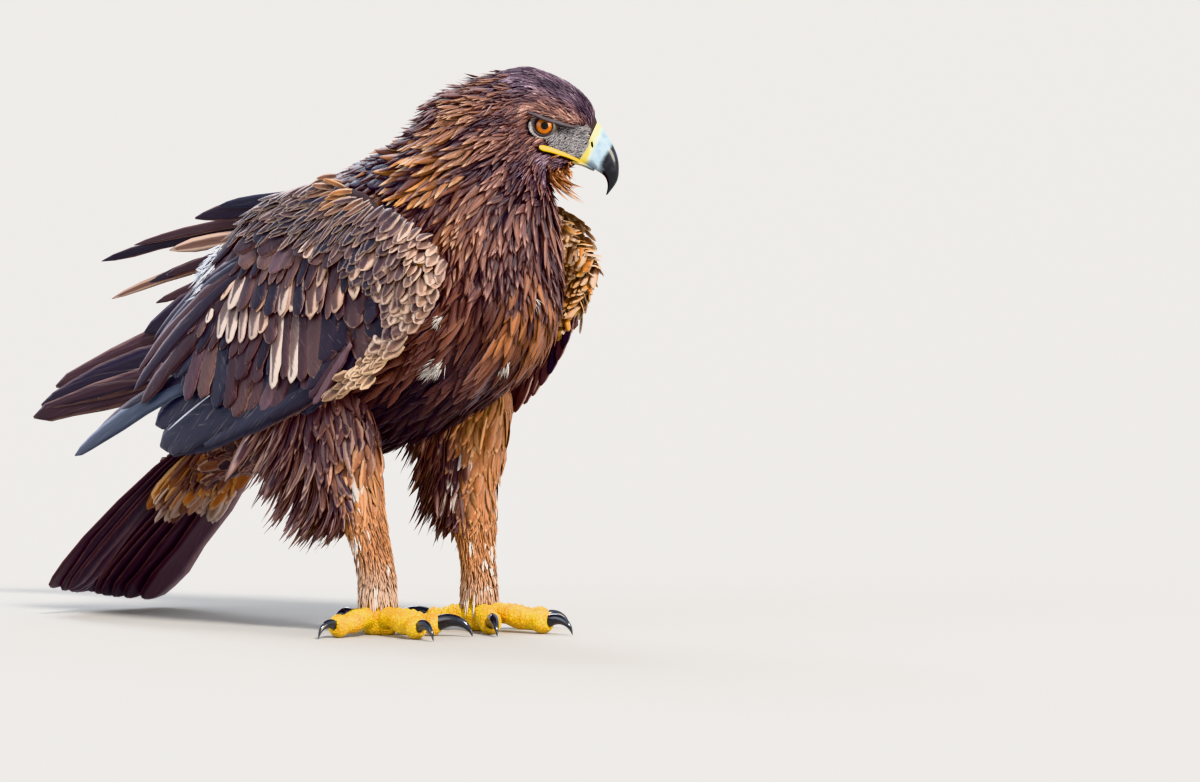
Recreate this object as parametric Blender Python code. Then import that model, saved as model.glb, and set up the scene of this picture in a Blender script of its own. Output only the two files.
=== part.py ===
"""A golden eagle at life size, standing with its head turned to its left and its wings loosely folded.

The bird faces +X, +Y is its left and +Z is up. All sizes are in millimetres until SCALE
makes them metres. The origin is on the floor, under the middle of the bird's box.
"""

import math
import bmesh
import bpy
from mathutils import Vector

SCALE = 0.001
GAP = 0.3
FEET_AHEAD = Vector((201.0, 4.0, 0.0))

# The head turns about an upright axis through the neck.
NECK_AXIS_X = 75.0
HEAD_YAW = 42.0

# Rings of the body from the bill back to the tail: where the back and the belly lie, ahead of
# the neck axis and above the floor, then half the width and how far the ring is turned.
BODY_RINGS = (
    (109, 484.5, 91, 447, 13.5, 42),
    (101.5, 504, 83, 444, 20, 42),
    (86.5, 519.5, 75, 441, 27, 42),
    (65, 531, 69, 439, 31.5, 42),
    (42, 538, 64, 437, 35, 42),
    (15, 533, 62, 434, 38, 42),
    (-14, 520, 62, 430, 41, 39),
    (-44, 504, 64, 424, 46, 32),
    (-64, 482, 67, 414, 53, 22),
    (-95, 461, 72, 396, 62, 10),
    (-128, 450, 76, 350, 75, 2),
    (-160, 438, 76, 302, 86, 0),
    (-192, 420, 50, 258, 92, 0),
    (-222, 388, -10, 219, 90, 0),
    (-250, 344, -92, 184, 80, 0),
    (-274, 296, -172, 164, 63, 0),
    (-298, 254, -246, 154, 49, 0),
    (-322, 224, -300, 148, 40, 0),
    (-350, 190, -346, 140, 36, 0),
    (-392, 158, -396, 128, 27, 0),
)
HEAD_SPAN = (0, 6)
NECK_SPAN = (6, 10)
TORSO_SPAN = (10, 17)
RUMP_SPAN = (17, 19)
BODY_SIDES = 22

# The upper bill, cere to hook: ridge and cutting edge, ahead of the neck axis and above the
# floor, and half the width, in the upright plane of the head.
BILL_RINGS = (
    (115, 477, 98, 445.6, 10.5),
    (122, 466, 107, 440.4, 9.2),
    (127, 454, 114, 435.6, 7.4),
    (128.5, 442, 117, 430, 5.2),
    (126.5, 430, 117.5, 424, 3.0),
    (118, 418, 116, 417, 0.7),
)
CERE_RINGS = (
    (109.5, 484.4, 91.5, 446.8, 13.2),
    (112.3, 481, 94.5, 446.4, 11.8),
    (114.7, 477.4, 97.7, 446.2, 10.7),
)
LOWER_BILL_RINGS = (
    (84, 451.5, 82, 446, 10.5),
    (93, 448.3, 92, 443.2, 9.6),
    (101, 444.2, 99.5, 439.2, 8.0),
    (108, 439.8, 106.5, 434.9, 5.2),
    (112, 436.0, 111, 433.2, 2.4),
)
EYE_AT = (57.2, 483.3)
EYE_ASIDE = 26.5
EYE_RADIUS = 11.5

# The head's side forms, in its upright plane: a swelling or a hollow from one point to another,
# how far it reaches round the line between them and how far it stands out.
HEAD_FORMS = (
    ((36, 500), (56, 497), 6.5, 4.5),
    ((56, 497), (87, 487.5), 5.5, 5.5),
    ((66, 481), (88, 473), 7, -4.5),
    ((52, 482), (63, 482), 9, -3.5),
    ((30, 466), (50, 450), 20, 4.0),
)
# The yellow flange at the corner of the mouth: along, height and radius.
GAPE = ((54, 462.8, 2.6), (62, 461.4, 2.7), (71, 458.6, 2.3), (84, 453.8, 1.9), (93, 447.8, 1.6))
LID_RADIUS = 10.0
NOSTRIL = ((101.8, 462.0), (103.6, 465.8))

# Hackles of the neck: ring of the body where a row is rooted, and how many lie round it.
HACKLE_ROWS = ((6.3, 8), (6.95, 9), (7.6, 9), (8.3, 9), (8.95, 9))
HACKLE_LENGTH = 58.0
HACKLE_WIDTH = 19.0

# Shoulder feathers along the back: ring, angle from the ridge, length in rings and width.
SCAPULARS = (
    (12.2, 18, 1.9, 38),
    (12.4, 50, 1.9, 40),
    (12.7, 80, 1.9, 40),
    (11.5, 14, 1.8, 36),
    (11.6, 44, 1.8, 38),
    (11.8, 76, 1.8, 38),
    (10.6, 20, 1.6, 34),
    (10.7, 56, 1.6, 36),
)

# Legs: upright run of level rings: middle x, middle y, height, half length, half width.
RIGHT_LEG = (
    (-66, -62, 222, 48, 32),
    (-56, -60, 182, 45, 33),
    (-44, -57, 146, 34, 28),
    (-31, -55, 112, 24, 21),
    (-20, -53, 80, 19, 18),
    (-14.5, -52, 56, 18.5, 17.5),
    (-12.5, -52, 38, 19, 18),
)
LEFT_LEG = (
    (4, 60, 222, 46, 32),
    (7, 57, 190, 40, 32),
    (9, 54, 146, 30, 25),
    (14, 53, 107, 22.5, 20),
    (20, 52, 70, 17, 16.5),
    (22, 52, 50, 17, 16.5),
    (22, 52, 38, 18, 17.5),
)

# Thigh feathers: where each leaves the leg (ring, angle from straight ahead) and its tip.
RIGHT_TROUSERS = (
    (1.0, 180, (-190, -56, 128), 34),
    (1.3, 205, (-178, -74, 112), 32),
    (1.5, 160, (-160, -48, 98), 32),
    (1.7, 190, (-142, -60, 76), 32),
    (2.0, 215, (-118, -78, 78), 30),
    (2.0, 170, (-116, -52, 56), 30),
    (2.3, 235, (-86, -82, 84), 28),
    (2.5, 190, (-86, -58, 62), 26),
    (0.6, 235, (-120, -96, 128), 34),
    (0.8, 262, (-78, -94, 112), 34),
    (1.2, 285, (-44, -88, 110), 30),
)
LEFT_TROUSERS = (
    (1.0, 180, (-66, 58, 118), 32),
    (1.4, 200, (-56, 46, 96), 30),
    (1.6, 165, (-50, 66, 88), 30),
    (2.0, 185, (-30, 54, 76), 28),
    (2.3, 150, (-22, 66, 82), 26),
    (0.6, 130, (-44, 96, 140), 34),
    (0.7, 95, (6, 98, 130), 34),
    (1.0, 70, (38, 90, 138), 30),
    (1.9, 215, (-14, 34, 92), 24),
)

# Toes: name, way it points in degrees from straight ahead, length, claw length.
RIGHT_TOES = (
    ("inner", 20, 62, 40),
    ("middle", -20, 84, 33),
    ("outer", -88, 66, 27),
    ("hind", 162, 52, 44),
)
LEFT_TOES = (
    ("inner", -38, 62, 40),
    ("middle", 4, 84, 33),
    ("outer", 58, 66, 27),
    ("hind", -150, 52, 44),
)
# Along a toe: share of its length, height over its root and radius; pads and knuckles.
TOE_SHAPE = (
    (0.0, 0.0, 11.0),
    (0.32, 2.5, 9.0),
    (0.55, 0.5, 10.0),
    (0.76, -1.5, 9.2),
    (0.9, -2.5, 10.6),
    (1.0, -2.0, 7.2),
)
CLAW_ROOT_RADIUS = 6.2

# The folded right wing's outer face: its upper and lower borders, wrist to elbow.
WING_TOP = ((120, -122, 372), (52, -114, 405), (-28, -98, 434), (-140, -84, 394), (-220, -78, 328))
WING_FOOT = ((110, -120, 318), (68, -118, 281), (-33, -112, 226), (-137, -104, 193), (-255, -86, 177))
WING_SWELL = 12.0
WING_CORE_TOP = 36.0
WING_CORE_FOOT = 5.0

# Flight feathers of both wings: root and tip on the right wing's face or off it, width, lift.
SECONDARIES = (
    ((0.42, 0.62), (0.52, 1.10), 34),
    ((0.48, 0.60), (0.60, 1.12), 34),
    ((0.54, 0.58), (0.68, 1.12), 34),
    ((0.60, 0.56), (0.76, 1.10), 34),
    ((0.67, 0.52), (0.84, 1.06), 34),
    ((0.74, 0.48), (0.92, 1.00), 33),
    ((0.81, 0.42), (1.00, 0.92), 32),
    ((0.88, 0.34), (1.06, 0.82), 30),
    ((0.95, 0.24), (1.10, 0.68), 26),
)
# Coverts in rows: how many, from and to along the wing, tip line, length down the wing, width.
COVERT_ROWS = (
    (9, 0.20, 1.00, ((0, 1.1), (0.25, 0.96), (0.5, 0.86), (0.64, 0.82), (0.8, 0.56), (1.0, 0.42)), 0.50, 38),
    (9, 0.12, 0.97, ((0, 1.1), (0.2, 0.9), (0.35, 0.7), (0.5, 0.62), (0.75, 0.44), (1.0, 0.28)), 0.36, 37),
    (8, 0.06, 0.92, ((0, 1.0), (0.2, 0.66), (0.35, 0.49), (0.5, 0.43), (0.75, 0.3), (1.0, 0.17)), 0.30, 36),
    (7, 0.03, 0.82, ((0, 0.75), (0.15, 0.48), (0.3, 0.3), (0.5, 0.25), (0.75, 0.17), (1.0, 0.1)), 0.24, 32),
)
COVERT_SLANT = 0.05
# Primaries: where the quill leaves the hand and where the feather ends, with its width.
RIGHT_PRIMARIES = (
    ((-20, -109, 240), (-208, -90, 170), 36),
    ((-40, -108, 236), (-240, -84, 164), 38),
    ((-64, -105, 232), (-268, -78, 160), 40),
    ((-92, -101, 232), (-300, -72, 168), 36),
    ((-120, -97, 236), (-352, -68, 160), 32),
    ((-140, -94, 244), (-397, -62, 157), 28),
    ((-158, -91, 256), (-372, -66, 180), 30),
)
LEFT_PRIMARIES = (
    ((-20, 109, 240), (-208, 92, 172), 36),
    ((-50, 107, 236), (-262, 84, 164), 38),
    ((-80, 103, 234), (-330, 78, 158), 38),
    ((-110, 99, 238), (-408, 72, 156), 38),
    ((-134, 95, 246), (-486, 66, 160), 38),
    ((-154, 92, 254), (-540, 60, 170), 36),
    ((-170, 89, 264), (-574, 54, 181), 32),
)
RIGHT_TERTIALS = (
    ((-150, -92, 345), (-306, -84, 226), 30),
    ((-128, -90, 362), (-286, -78, 262), 30),
    ((-100, -88, 378), (-262, -72, 292), 28),
)
LEFT_LOW_FEATHERS = (
    ((70, 112, 300), (46, 104, 222), 26),
    ((54, 110, 280), (30, 90, 180), 26),
    ((84, 112, 312), (66, 104, 254), 26),
)
LEFT_TERTIALS = (
    ((-140, 88, 330), (-330, 74, 236), 32),
    ((-132, 84, 345), (-404, 58, 276), 34),
    ((-118, 78, 362), (-440, 62, 306), 22),
    ((-104, 72, 378), (-484, 78, 304), 20),
    ((-90, 66, 392), (-474, 60, 340), 20),
    ((-70, 60, 405), (-330, 46, 384), 26),
)

# Twelve tail feathers: where the fan starts and ends, and half its spread at either end.
TAIL_ROOT = (-236, 0, 194)
TAIL_TIP = (-440, 0, 14)
TAIL_SPREAD = (32, 55)
TAIL_SWEEP = 13.0
TAIL_ROLL = -8.0
TAIL_FEATHERS = 12
TAIL_FEATHER_WIDTH = 34


def spline(rows, s):
    """The smooth curve through these rows of numbers, at s from 0 to the last row's index."""
    i = max(0, min(int(s), len(rows) - 2))
    t = s - i
    before, here, there, after = (rows[max(0, min(i + k, len(rows) - 1))] for k in (-1, 0, 1, 2))
    return [
        0.5 * (2 * b + (c - a) * t + (2 * a - 5 * b + 4 * c - d) * t * t + (3 * b - a - 3 * c + d) * t**3)
        for a, b, c, d in zip(before, here, there, after)
    ]


def turned(along, height, yaw, aside=0.0):
    """A point so far ahead of the neck axis, in the upright plane turned by yaw degrees."""
    a = math.radians(yaw)
    return Vector(
        (
            NECK_AXIS_X + along * math.cos(a) - aside * math.sin(a),
            along * math.sin(a) + aside * math.cos(a),
            height,
        )
    )


def body_point(s, phi):
    """The body's surface at ring s and angle phi, in degrees from the back round to the left."""
    top_a, top_z, low_a, low_z, half, yaw = spline(BODY_RINGS, s)
    top, low = turned(top_a, top_z, yaw), turned(low_a, low_z, yaw)
    a = math.radians(phi)
    side = turned(0, 0, yaw, 1) - turned(0, 0, yaw)
    return (top + low) / 2 + (top - low) / 2 * math.cos(a) + side * (half * math.sin(a))


def ring_way(s):
    """The way along the body, head to tail, square to ring s."""
    top, low, left = body_point(s, 0), body_point(s, 180), body_point(s, 90)
    way = (top - low).cross(left - (top + low) / 2).normalized()
    return way if way.dot(body_point(min(s + 0.5, 19), 90) - left) > 0 else -way


def body_normal(s, phi):
    """The outward normal of the body at ring s and angle phi."""
    e = 0.05
    along = body_point(min(s + e, 19), phi) - body_point(s - e, phi)
    round_it = body_point(s, phi + 3) - body_point(s, phi - 3)
    n = round_it.cross(along).normalized()
    middle = (body_point(s, 0) + body_point(s, 180)) / 2
    return n if n.dot(body_point(s, phi) - middle) > 0 else -n


def add_mesh(name, points, faces, collection):
    """A mesh object from points in millimetres, in the bird's own frame."""
    mesh = bpy.data.meshes.new(name)
    mesh.from_pydata([tuple((p + FEET_AHEAD) * SCALE) for p in points], [], faces)
    made = bpy.data.objects.new(name, mesh)
    collection.objects.link(made)
    return made


def loft(name, rings, collection):
    """A closed solid through rings of equally many points, with flat ends."""
    sides = len(rings[0])
    points = [p for ring in rings for p in ring]
    faces = [tuple(range(sides))[::-1]]
    for r in range(len(rings) - 1):
        for k in range(sides):
            a, b = r * sides + k, r * sides + (k + 1) % sides
            faces.append((a, b, b + sides, a + sides))
    faces.append(tuple(range(len(points) - sides, len(points))))
    made = add_mesh(name, points, faces, collection)
    face_out(made)
    return made


def face_out(obj):
    """Turns every face of a closed mesh outwards and makes them all triangles."""
    bm = bmesh.new()
    bm.from_mesh(obj.data)
    bmesh.ops.triangulate(bm, faces=bm.faces)
    bmesh.ops.recalc_face_normals(bm, faces=bm.faces)
    if bm.calc_volume(signed=True) < 0:
        bmesh.ops.reverse_faces(bm, faces=bm.faces)
    bm.to_mesh(obj.data)
    bm.free()


def body_solid(name, span, steps, collection):
    """The stretch of the body between two rings, its ends drawn in by half a gap."""
    first, last = span
    rings = []
    for i in range(steps + 1):
        s = first + (last - first) * i / steps
        shift = Vector()
        if i == 0 and first > 0:
            shift = ring_way(s) * (GAP / 2)
        if i == steps and last < len(BODY_RINGS) - 1:
            shift = ring_way(s) * (-GAP / 2)
        rings.append([body_point(s, 360 * k / BODY_SIDES) + shift for k in range(BODY_SIDES)])
    return loft(name, rings, collection)


def to_line(a, h, start, end):
    """How far the point (a, h) is from the line between two others."""
    ax, ay = end[0] - start[0], end[1] - start[1]
    t = max(0.0, min(1.0, ((a - start[0]) * ax + (h - start[1]) * ay) / (ax * ax + ay * ay)))
    return math.hypot(a - start[0] - ax * t, h - start[1] - ay * t)


def head_form(point):
    """Moves a point of the head's surface sideways by its brow, socket, cheek and mouth line."""
    yaw = math.radians(HEAD_YAW)
    x, y = point.x - NECK_AXIS_X, point.y
    along, aside = x * math.cos(yaw) + y * math.sin(yaw), y * math.cos(yaw) - x * math.sin(yaw)
    out = 0.0
    for start, end, reach, height in HEAD_FORMS:
        d = to_line(along, point.z, start, end) / reach
        out += height * math.exp(-d * d)
    share = max(-1.0, min(1.0, aside / 9.0))
    return point + (turned(0, 0, HEAD_YAW, 1) - turned(0, 0, HEAD_YAW)) * (out * share)


def head_side(along, height):
    """How far aside the head's surface stands at a place given as seen from the side."""
    best, found = 1e9, 0.0
    yaw = math.radians(HEAD_YAW)
    for i in range(61):
        for j in range(37):
            at = head_form(body_point(HEAD_SPAN[1] * i / 60, 5.0 * j))
            x, y = at.x - NECK_AXIS_X, at.y
            a, aside = x * math.cos(yaw) + y * math.sin(yaw), y * math.cos(yaw) - x * math.sin(yaw)
            d = (a - along) ** 2 + (at.z - height) ** 2
            if d < best:
                best, found = d, aside
    return found


def head_solid(collection):
    """The head, with more points about its sides than the rest of the body."""
    rings = []
    steps, sides = 17, 24
    for i in range(steps + 1):
        s = HEAD_SPAN[1] * i / steps
        shift = ring_way(s) * (-GAP / 2) if i == steps else Vector()
        ring = []
        for k in range(sides):
            a = 2 * math.pi * k / sides
            ring.append(head_form(body_point(s, math.degrees(a - 0.16 * math.sin(2 * a)))) + shift)
        rings.append(ring)
    return loft("head", rings, collection)


def applied(obj):
    """Replaces an object's mesh by what its modifiers make of it."""
    graph = bpy.context.evaluated_depsgraph_get()
    made = bpy.data.meshes.new_from_object(obj.evaluated_get(graph))
    obj.modifiers.clear()
    obj.data = made
    return obj


def keep_largest(obj):
    """Keeps an object's largest closed surface and drops the scraps."""
    bm = bmesh.new()
    bm.from_mesh(obj.data)
    left, groups = set(bm.faces), []
    while left:
        seed = left.pop()
        group, edge = [seed], [seed]
        while edge:
            for e in edge.pop().edges:
                for f in e.link_faces:
                    if f in left:
                        left.remove(f)
                        group.append(f)
                        edge.append(f)
        groups.append(group)
    if len(groups) > 1:
        groups.sort(key=lambda g: sum(f.calc_area() for f in g))
        bmesh.ops.delete(bm, geom=[f for g in groups[:-1] for f in g], context="FACES")
    bm.to_mesh(obj.data)
    bm.free()
    return obj


def is_closed(bm):
    return all(len(e.link_faces) == 2 for e in bm.edges)


def merge_flats(obj):
    """Merges the scraps that joining leaves within flat faces, where the mesh stays closed."""
    for degrees in (0.4, 0.15, 0.05):
        bm = bmesh.new()
        bm.from_mesh(obj.data)
        bmesh.ops.dissolve_limit(bm, angle_limit=math.radians(degrees), verts=bm.verts, edges=bm.edges)
        bmesh.ops.triangulate(bm, faces=bm.faces)
        fits = is_closed(bm)
        if fits:
            bm.to_mesh(obj.data)
        bm.free()
        if fits:
            return


def boolean(obj, others, operation, solver="MANIFOLD"):
    """Joins others to obj, or cuts them from it, and removes them."""
    helpers = bpy.data.collections.new("helpers")
    bpy.context.scene.collection.children.link(helpers)
    for other in others:
        for home in list(other.users_collection):
            home.objects.unlink(other)
        helpers.objects.link(other)
    bpy.context.view_layer.update()
    modifier = obj.modifiers.new("join", "BOOLEAN")
    modifier.operation = operation
    modifier.solver = solver
    modifier.operand_type = "COLLECTION"
    modifier.collection = helpers
    bpy.context.view_layer.update()
    applied(obj)
    for other in list(helpers.objects):
        bpy.data.objects.remove(other)
    bpy.data.collections.remove(helpers)
    return keep_largest(obj)


def grown(obj, by=GAP):
    """A copy of a solid, larger by the gap all round."""
    made = bpy.data.objects.new(obj.name + "_grown", obj.data.copy())
    bpy.context.scene.collection.objects.link(made)
    made.data.update()
    moves = [v.normal.copy() for v in made.data.vertices]
    for v, n in zip(made.data.vertices, moves):
        v.co += n * (by * 1.15 * SCALE)
    return made


def cut_clear(obj, neighbours):
    """Cuts an object back from its neighbours, leaving the gap."""
    return boolean(obj, [grown(n) for n in neighbours], "DIFFERENCE")


def level_off(obj):
    """Cuts away what is under the floor, which leaves small flats at one level."""
    bm = bmesh.new()
    bm.from_mesh(obj.data)
    geometry = bm.verts[:] + bm.edges[:] + bm.faces[:]
    bmesh.ops.bisect_plane(bm, geom=geometry, plane_co=(0, 0, 0), plane_no=(0, 0, -1), clear_outer=True)
    bmesh.ops.holes_fill(bm, edges=[e for e in bm.edges if e.is_boundary], sides=0)
    bmesh.ops.triangulate(bm, faces=bm.faces)
    bmesh.ops.recalc_face_normals(bm, faces=bm.faces)
    bm.to_mesh(obj.data)
    bm.free()
    return obj


def level_ring(x, y, z, half_long, half_wide, sides):
    return [
        Vector(
            (
                x + half_long * math.cos(2 * math.pi * k / sides),
                y + half_wide * math.sin(2 * math.pi * k / sides),
                z,
            )
        )
        for k in range(sides)
    ]


def head_ring(row, sides):
    """A ring of the bill: an oval between ridge and cutting edge, square to the head's plane."""
    top_a, top_z, low_a, low_z, half = row
    top, low = turned(top_a, top_z, HEAD_YAW), turned(low_a, low_z, HEAD_YAW)
    side = turned(0, 0, HEAD_YAW, 1) - turned(0, 0, HEAD_YAW)
    return [
        (top + low) / 2
        + (top - low) / 2 * math.cos(2 * math.pi * k / sides)
        + side * (half * math.sin(2 * math.pi * k / sides))
        for k in range(sides)
    ]


def tube(name, points, radii, sides, collection, flatten=1.0):
    """A tapering tube through points, round, or flattened across the level direction."""
    rings = []
    for i, p in enumerate(points):
        ahead = points[min(i + 1, len(points) - 1)] - points[max(i - 1, 0)]
        ahead.normalize()
        across = Vector((0, 0, 1)).cross(ahead)
        if across.length < 0.05:
            across = Vector((0, 1, 0))
        across.normalize()
        up = ahead.cross(across)
        rings.append(
            [
                p
                + across * (radii[i] * math.cos(2 * math.pi * k / sides))
                + up * (radii[i] * flatten * math.sin(2 * math.pi * k / sides))
                for k in range(sides)
            ]
        )
    return loft(name, rings, collection)


def claw_line(root, ahead, size):
    """The curved middle line of a claw and its radii, its point coming down to the floor."""
    points, radii = [], []
    radius = size * 0.6
    start = math.radians(-28)
    for k in range(6):
        t = k / 5
        a = start + math.radians(112) * t
        out = radius * (math.sin(a) - math.sin(start))
        up = radius * (math.cos(a) - math.cos(start))
        points.append(root + ahead * out + Vector((0, 0, up)))
        radii.append(CLAW_ROOT_RADIUS * size / 40 * (1 - t**1.4) + 0.5)
    low = points[-1].z
    for k, p in enumerate(points):
        p.z += (0.2 - low) * (k / 5) ** 2
    return points, radii


def ring_tube(name, points, radius, sides, collection):
    """A tube closed on itself, such as the rim of an eyelid."""
    count = len(points)
    made, faces = [], []
    middle = sum(points, Vector()) / count
    for i, p in enumerate(points):
        ahead = (points[(i + 1) % count] - points[i - 1]).normalized()
        out = (p - middle).normalized()
        up = ahead.cross(out).normalized()
        for k in range(sides):
            a = 2 * math.pi * k / sides
            made.append(p + out * (radius * math.cos(a)) + up * (radius * math.sin(a)))
    for i in range(count):
        for k in range(sides):
            a, b = i * sides + k, i * sides + (k + 1) % sides
            c, d = (i + 1) % count * sides + k, (i + 1) % count * sides + (k + 1) % sides
            faces.append((a, b, d, c))
    ring = add_mesh(name, made, faces, collection)
    face_out(ring)
    return ring


def sphere(name, centre, radius, segments, rings, collection):
    bm = bmesh.new()
    bmesh.ops.create_uvsphere(bm, u_segments=segments, v_segments=rings, radius=radius * SCALE)
    bmesh.ops.translate(bm, verts=bm.verts, vec=(centre + FEET_AHEAD) * SCALE)
    mesh = bpy.data.meshes.new(name)
    bm.to_mesh(mesh)
    bm.free()
    made = bpy.data.objects.new(name, mesh)
    collection.objects.link(made)
    face_out(made)
    return made


def wing_point(p, q):
    """The right wing's outer face, p from its front to its back and q from its top to its foot."""
    last = len(WING_TOP) - 1
    top, foot = Vector(spline(WING_TOP, p * last)), Vector(spline(WING_FOOT, p * last))
    swell = WING_SWELL * math.sin(math.pi * min(max(q, 0.0), 1.0))
    return top.lerp(foot, q) + Vector((0, -swell, 0))


def along_line(line, p):
    """The height of a broken line, given by its corners, at p."""
    for (p0, q0), (p1, q1) in zip(line, line[1:]):
        if p <= p1:
            return q0 + (q1 - q0) * (p - p0) / (p1 - p0)
    return line[-1][1]


def wing_normal(p, q):
    e = 0.02
    along = wing_point(min(p + e, 1), q) - wing_point(max(p - e, 0), q)
    down = wing_point(p, q + e) - wing_point(p, q - e)
    n = along.cross(down).normalized()
    return n if n.y < 0 else -n


def wing_core(name, collection, side):
    """The wing's own thickness: a rounded leading edge, thick above and thin below."""
    rings = []
    for p, nose in ((0.0, 1.0), (0.03, 0.35), (0.12, 0.0), (0.3, 0.0), (0.5, 0.0), (0.72, 0.0), (0.88, 0.0), (0.97, 0.0)):
        outer, inner = [], []
        for i in range(7):
            q = 0.02 + 0.9 * i / 6
            deep = WING_CORE_FOOT + (WING_CORE_TOP - WING_CORE_FOOT) * (1 - q) ** 1.4
            deep *= 1 - 0.5 * max(p - 0.5, 0) / 0.5
            n = wing_normal(p, q)
            at = wing_point(p, q)
            outer.append(mirrored(at - n * (deep * 0.42 * nose), side))
            inner.append(mirrored(at - n * (deep * (1 - 0.42 * nose)), side))
        rings.append(outer + inner[::-1])
    return loft(name, rings, collection)


def vane(start, end, width, out, bow=0.0, thick=1.4, tilt=0.0, blunt=0.6, steps=5, fine=True, sweep=0.0):
    """A feather from its root to its tip: a thin tapering ribbon, its shaft proud on fine ones."""
    way = (end - start).normalized()
    across = way.cross(out).normalized()
    face = across.cross(way).normalized()
    across = (across * math.cos(tilt) + face * math.sin(tilt)).normalized()
    face = across.cross(way).normalized()
    length = (end - start).length
    rings = []
    for i in range(steps):
        t = i / (steps - 1)
        middle = start.lerp(end, t) + out * (bow * length * 4 * t * (1 - t))
        middle += across * (sweep * 4 * t * (1 - t))
        wide = width / 2 * (0.45 + 0.55 * min(t / 0.3, 1.0))
        if t > 0.7:
            wide *= max(1 - ((t - 0.7) / 0.3) ** 2 * (1 - blunt * 0.55), 0.12)
        edge = max(thick * (1 - 0.5 * t), 0.5) / 2
        spine = edge + (0.6 * (1 - 0.6 * t) if fine else 0.0)
        if fine:
            rings.append(
                [
                    middle - across * wide + face * edge,
                    middle + face * spine,
                    middle + across * wide + face * edge,
                    middle + across * wide - face * edge,
                    middle - face * spine,
                    middle - across * wide - face * edge,
                ]
            )
        else:
            rings.append(
                [
                    middle - across * wide + face * edge,
                    middle + across * wide + face * edge,
                    middle + across * wide - face * edge,
                    middle - across * wide - face * edge,
                ]
            )
    return rings


def body_face(s, phi):
    """The body's surface and its normal, for a covert bedded in it."""
    return body_point(s, phi), body_normal(s, phi)


def body_vane(s, phi, length, width, rise, turn=0.0, blunt=0.2, tilt=0.0, sink=3.0, steps=4):
    """A feather rooted in the body at ring s and angle phi, lying back along it."""
    here, n = body_point(s, phi), body_normal(s, phi)
    t = 0.1
    while t < 6 and s + t < 18.5 and (body_point(s + t, phi + turn * t) - here).length < length:
        t += 0.1
    there, m = body_point(min(s + t, 18.5), phi + turn * t), body_normal(min(s + t, 18.5), phi + turn * t)
    end = here + (there - here).normalized() * length
    end += m * ((there - end).dot(m) + rise)
    return vane(here - n * sink, end, width, (n + m).normalized(), 0.03, 1.3, tilt, blunt, steps, False)


def vanes(name, feathers, collection):
    """Makes each feather a closed solid, so that they can all be joined to one node."""
    return [loft(name, rings, collection) for rings in feathers]


def shingle(surface, start, end, width, heights, depth, tilt=0.0, blunt=0.6):
    """A covert bedded in a surface: it rises from heights[0] at its root to heights[1] at its tip."""
    middles = []
    for t in (0.0, 0.68, 1.0):
        at, n = surface(start[0] + (end[0] - start[0]) * t, start[1] + (end[1] - start[1]) * t)
        middles.append((at, n, heights[0] + (heights[1] - heights[0]) * t, t))
    rings = []
    for i, (at, n, high, t) in enumerate(middles):
        way = middles[min(i + 1, 2)][0] - middles[max(i - 1, 0)][0]
        across = way.cross(n).normalized()
        wide = width / 2 * (0.75, 1.0, blunt * 0.75)[i]
        lean = n * (wide * tilt)
        rings.append(
            [
                at - across * wide + n * high - lean,
                at + across * wide + n * high + lean,
                at + across * (wide * 0.9) - n * depth,
                at - across * (wide * 0.9) - n * depth,
            ]
        )
    return rings


def wing_face(side):
    """The face of one wing, as a function that gives a point on it and its normal."""

    def face(p, q):
        at = wing_point(p, q)
        n = wing_normal(min(max(p, 0.02), 0.98), min(max(q, 0.02), 0.98))
        return mirrored(at, side), mirrored(n, side)

    return face


def wing_vane(root, tip, width, lift, rise, side, tilt=0.12, fine=True, steps=5, blunt=0.6):
    """A feather lying on the wing's face, its root sunk in and its tip standing off it."""
    n0, n1 = wing_normal(min(root[0], 1), min(root[1], 1)), wing_normal(min(tip[0], 1), min(tip[1], 1))
    a = mirrored(wing_point(*root) + n0 * lift, side)
    b = mirrored(wing_point(*tip) + n1 * (lift + rise), side)
    out = mirrored((n0 + n1).normalized(), side)
    return vane(a, b, width, out, 0.035, 1.2, tilt * -side, blunt, steps, fine)


def mirrored(point, side):
    """The point on the right, or its mirror image on the left for side 1."""
    return Vector((point.x, -point.y if side > 0 else point.y, point.z))


def paint(obj, colour, roughness, metallic=0.0):
    material = bpy.data.materials.new(obj.name)
    material.use_nodes = True
    shader = material.node_tree.nodes["Principled BSDF"]
    shader.inputs["Base Color"].default_value = (*colour, 1.0)
    shader.inputs["Roughness"].default_value = roughness
    shader.inputs["Metallic"].default_value = metallic
    obj.data.materials.clear()
    obj.data.materials.append(material)
    obj.data.shade_smooth()
    obj.data.set_sharp_from_angle(angle=math.radians(35))


BROWN = (0.09, 0.045, 0.03)
RUFOUS = (0.30, 0.13, 0.05)
TAWNY = (0.42, 0.22, 0.10)
YELLOW = (0.80, 0.55, 0.04)
HORN = (0.03, 0.035, 0.05)


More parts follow.
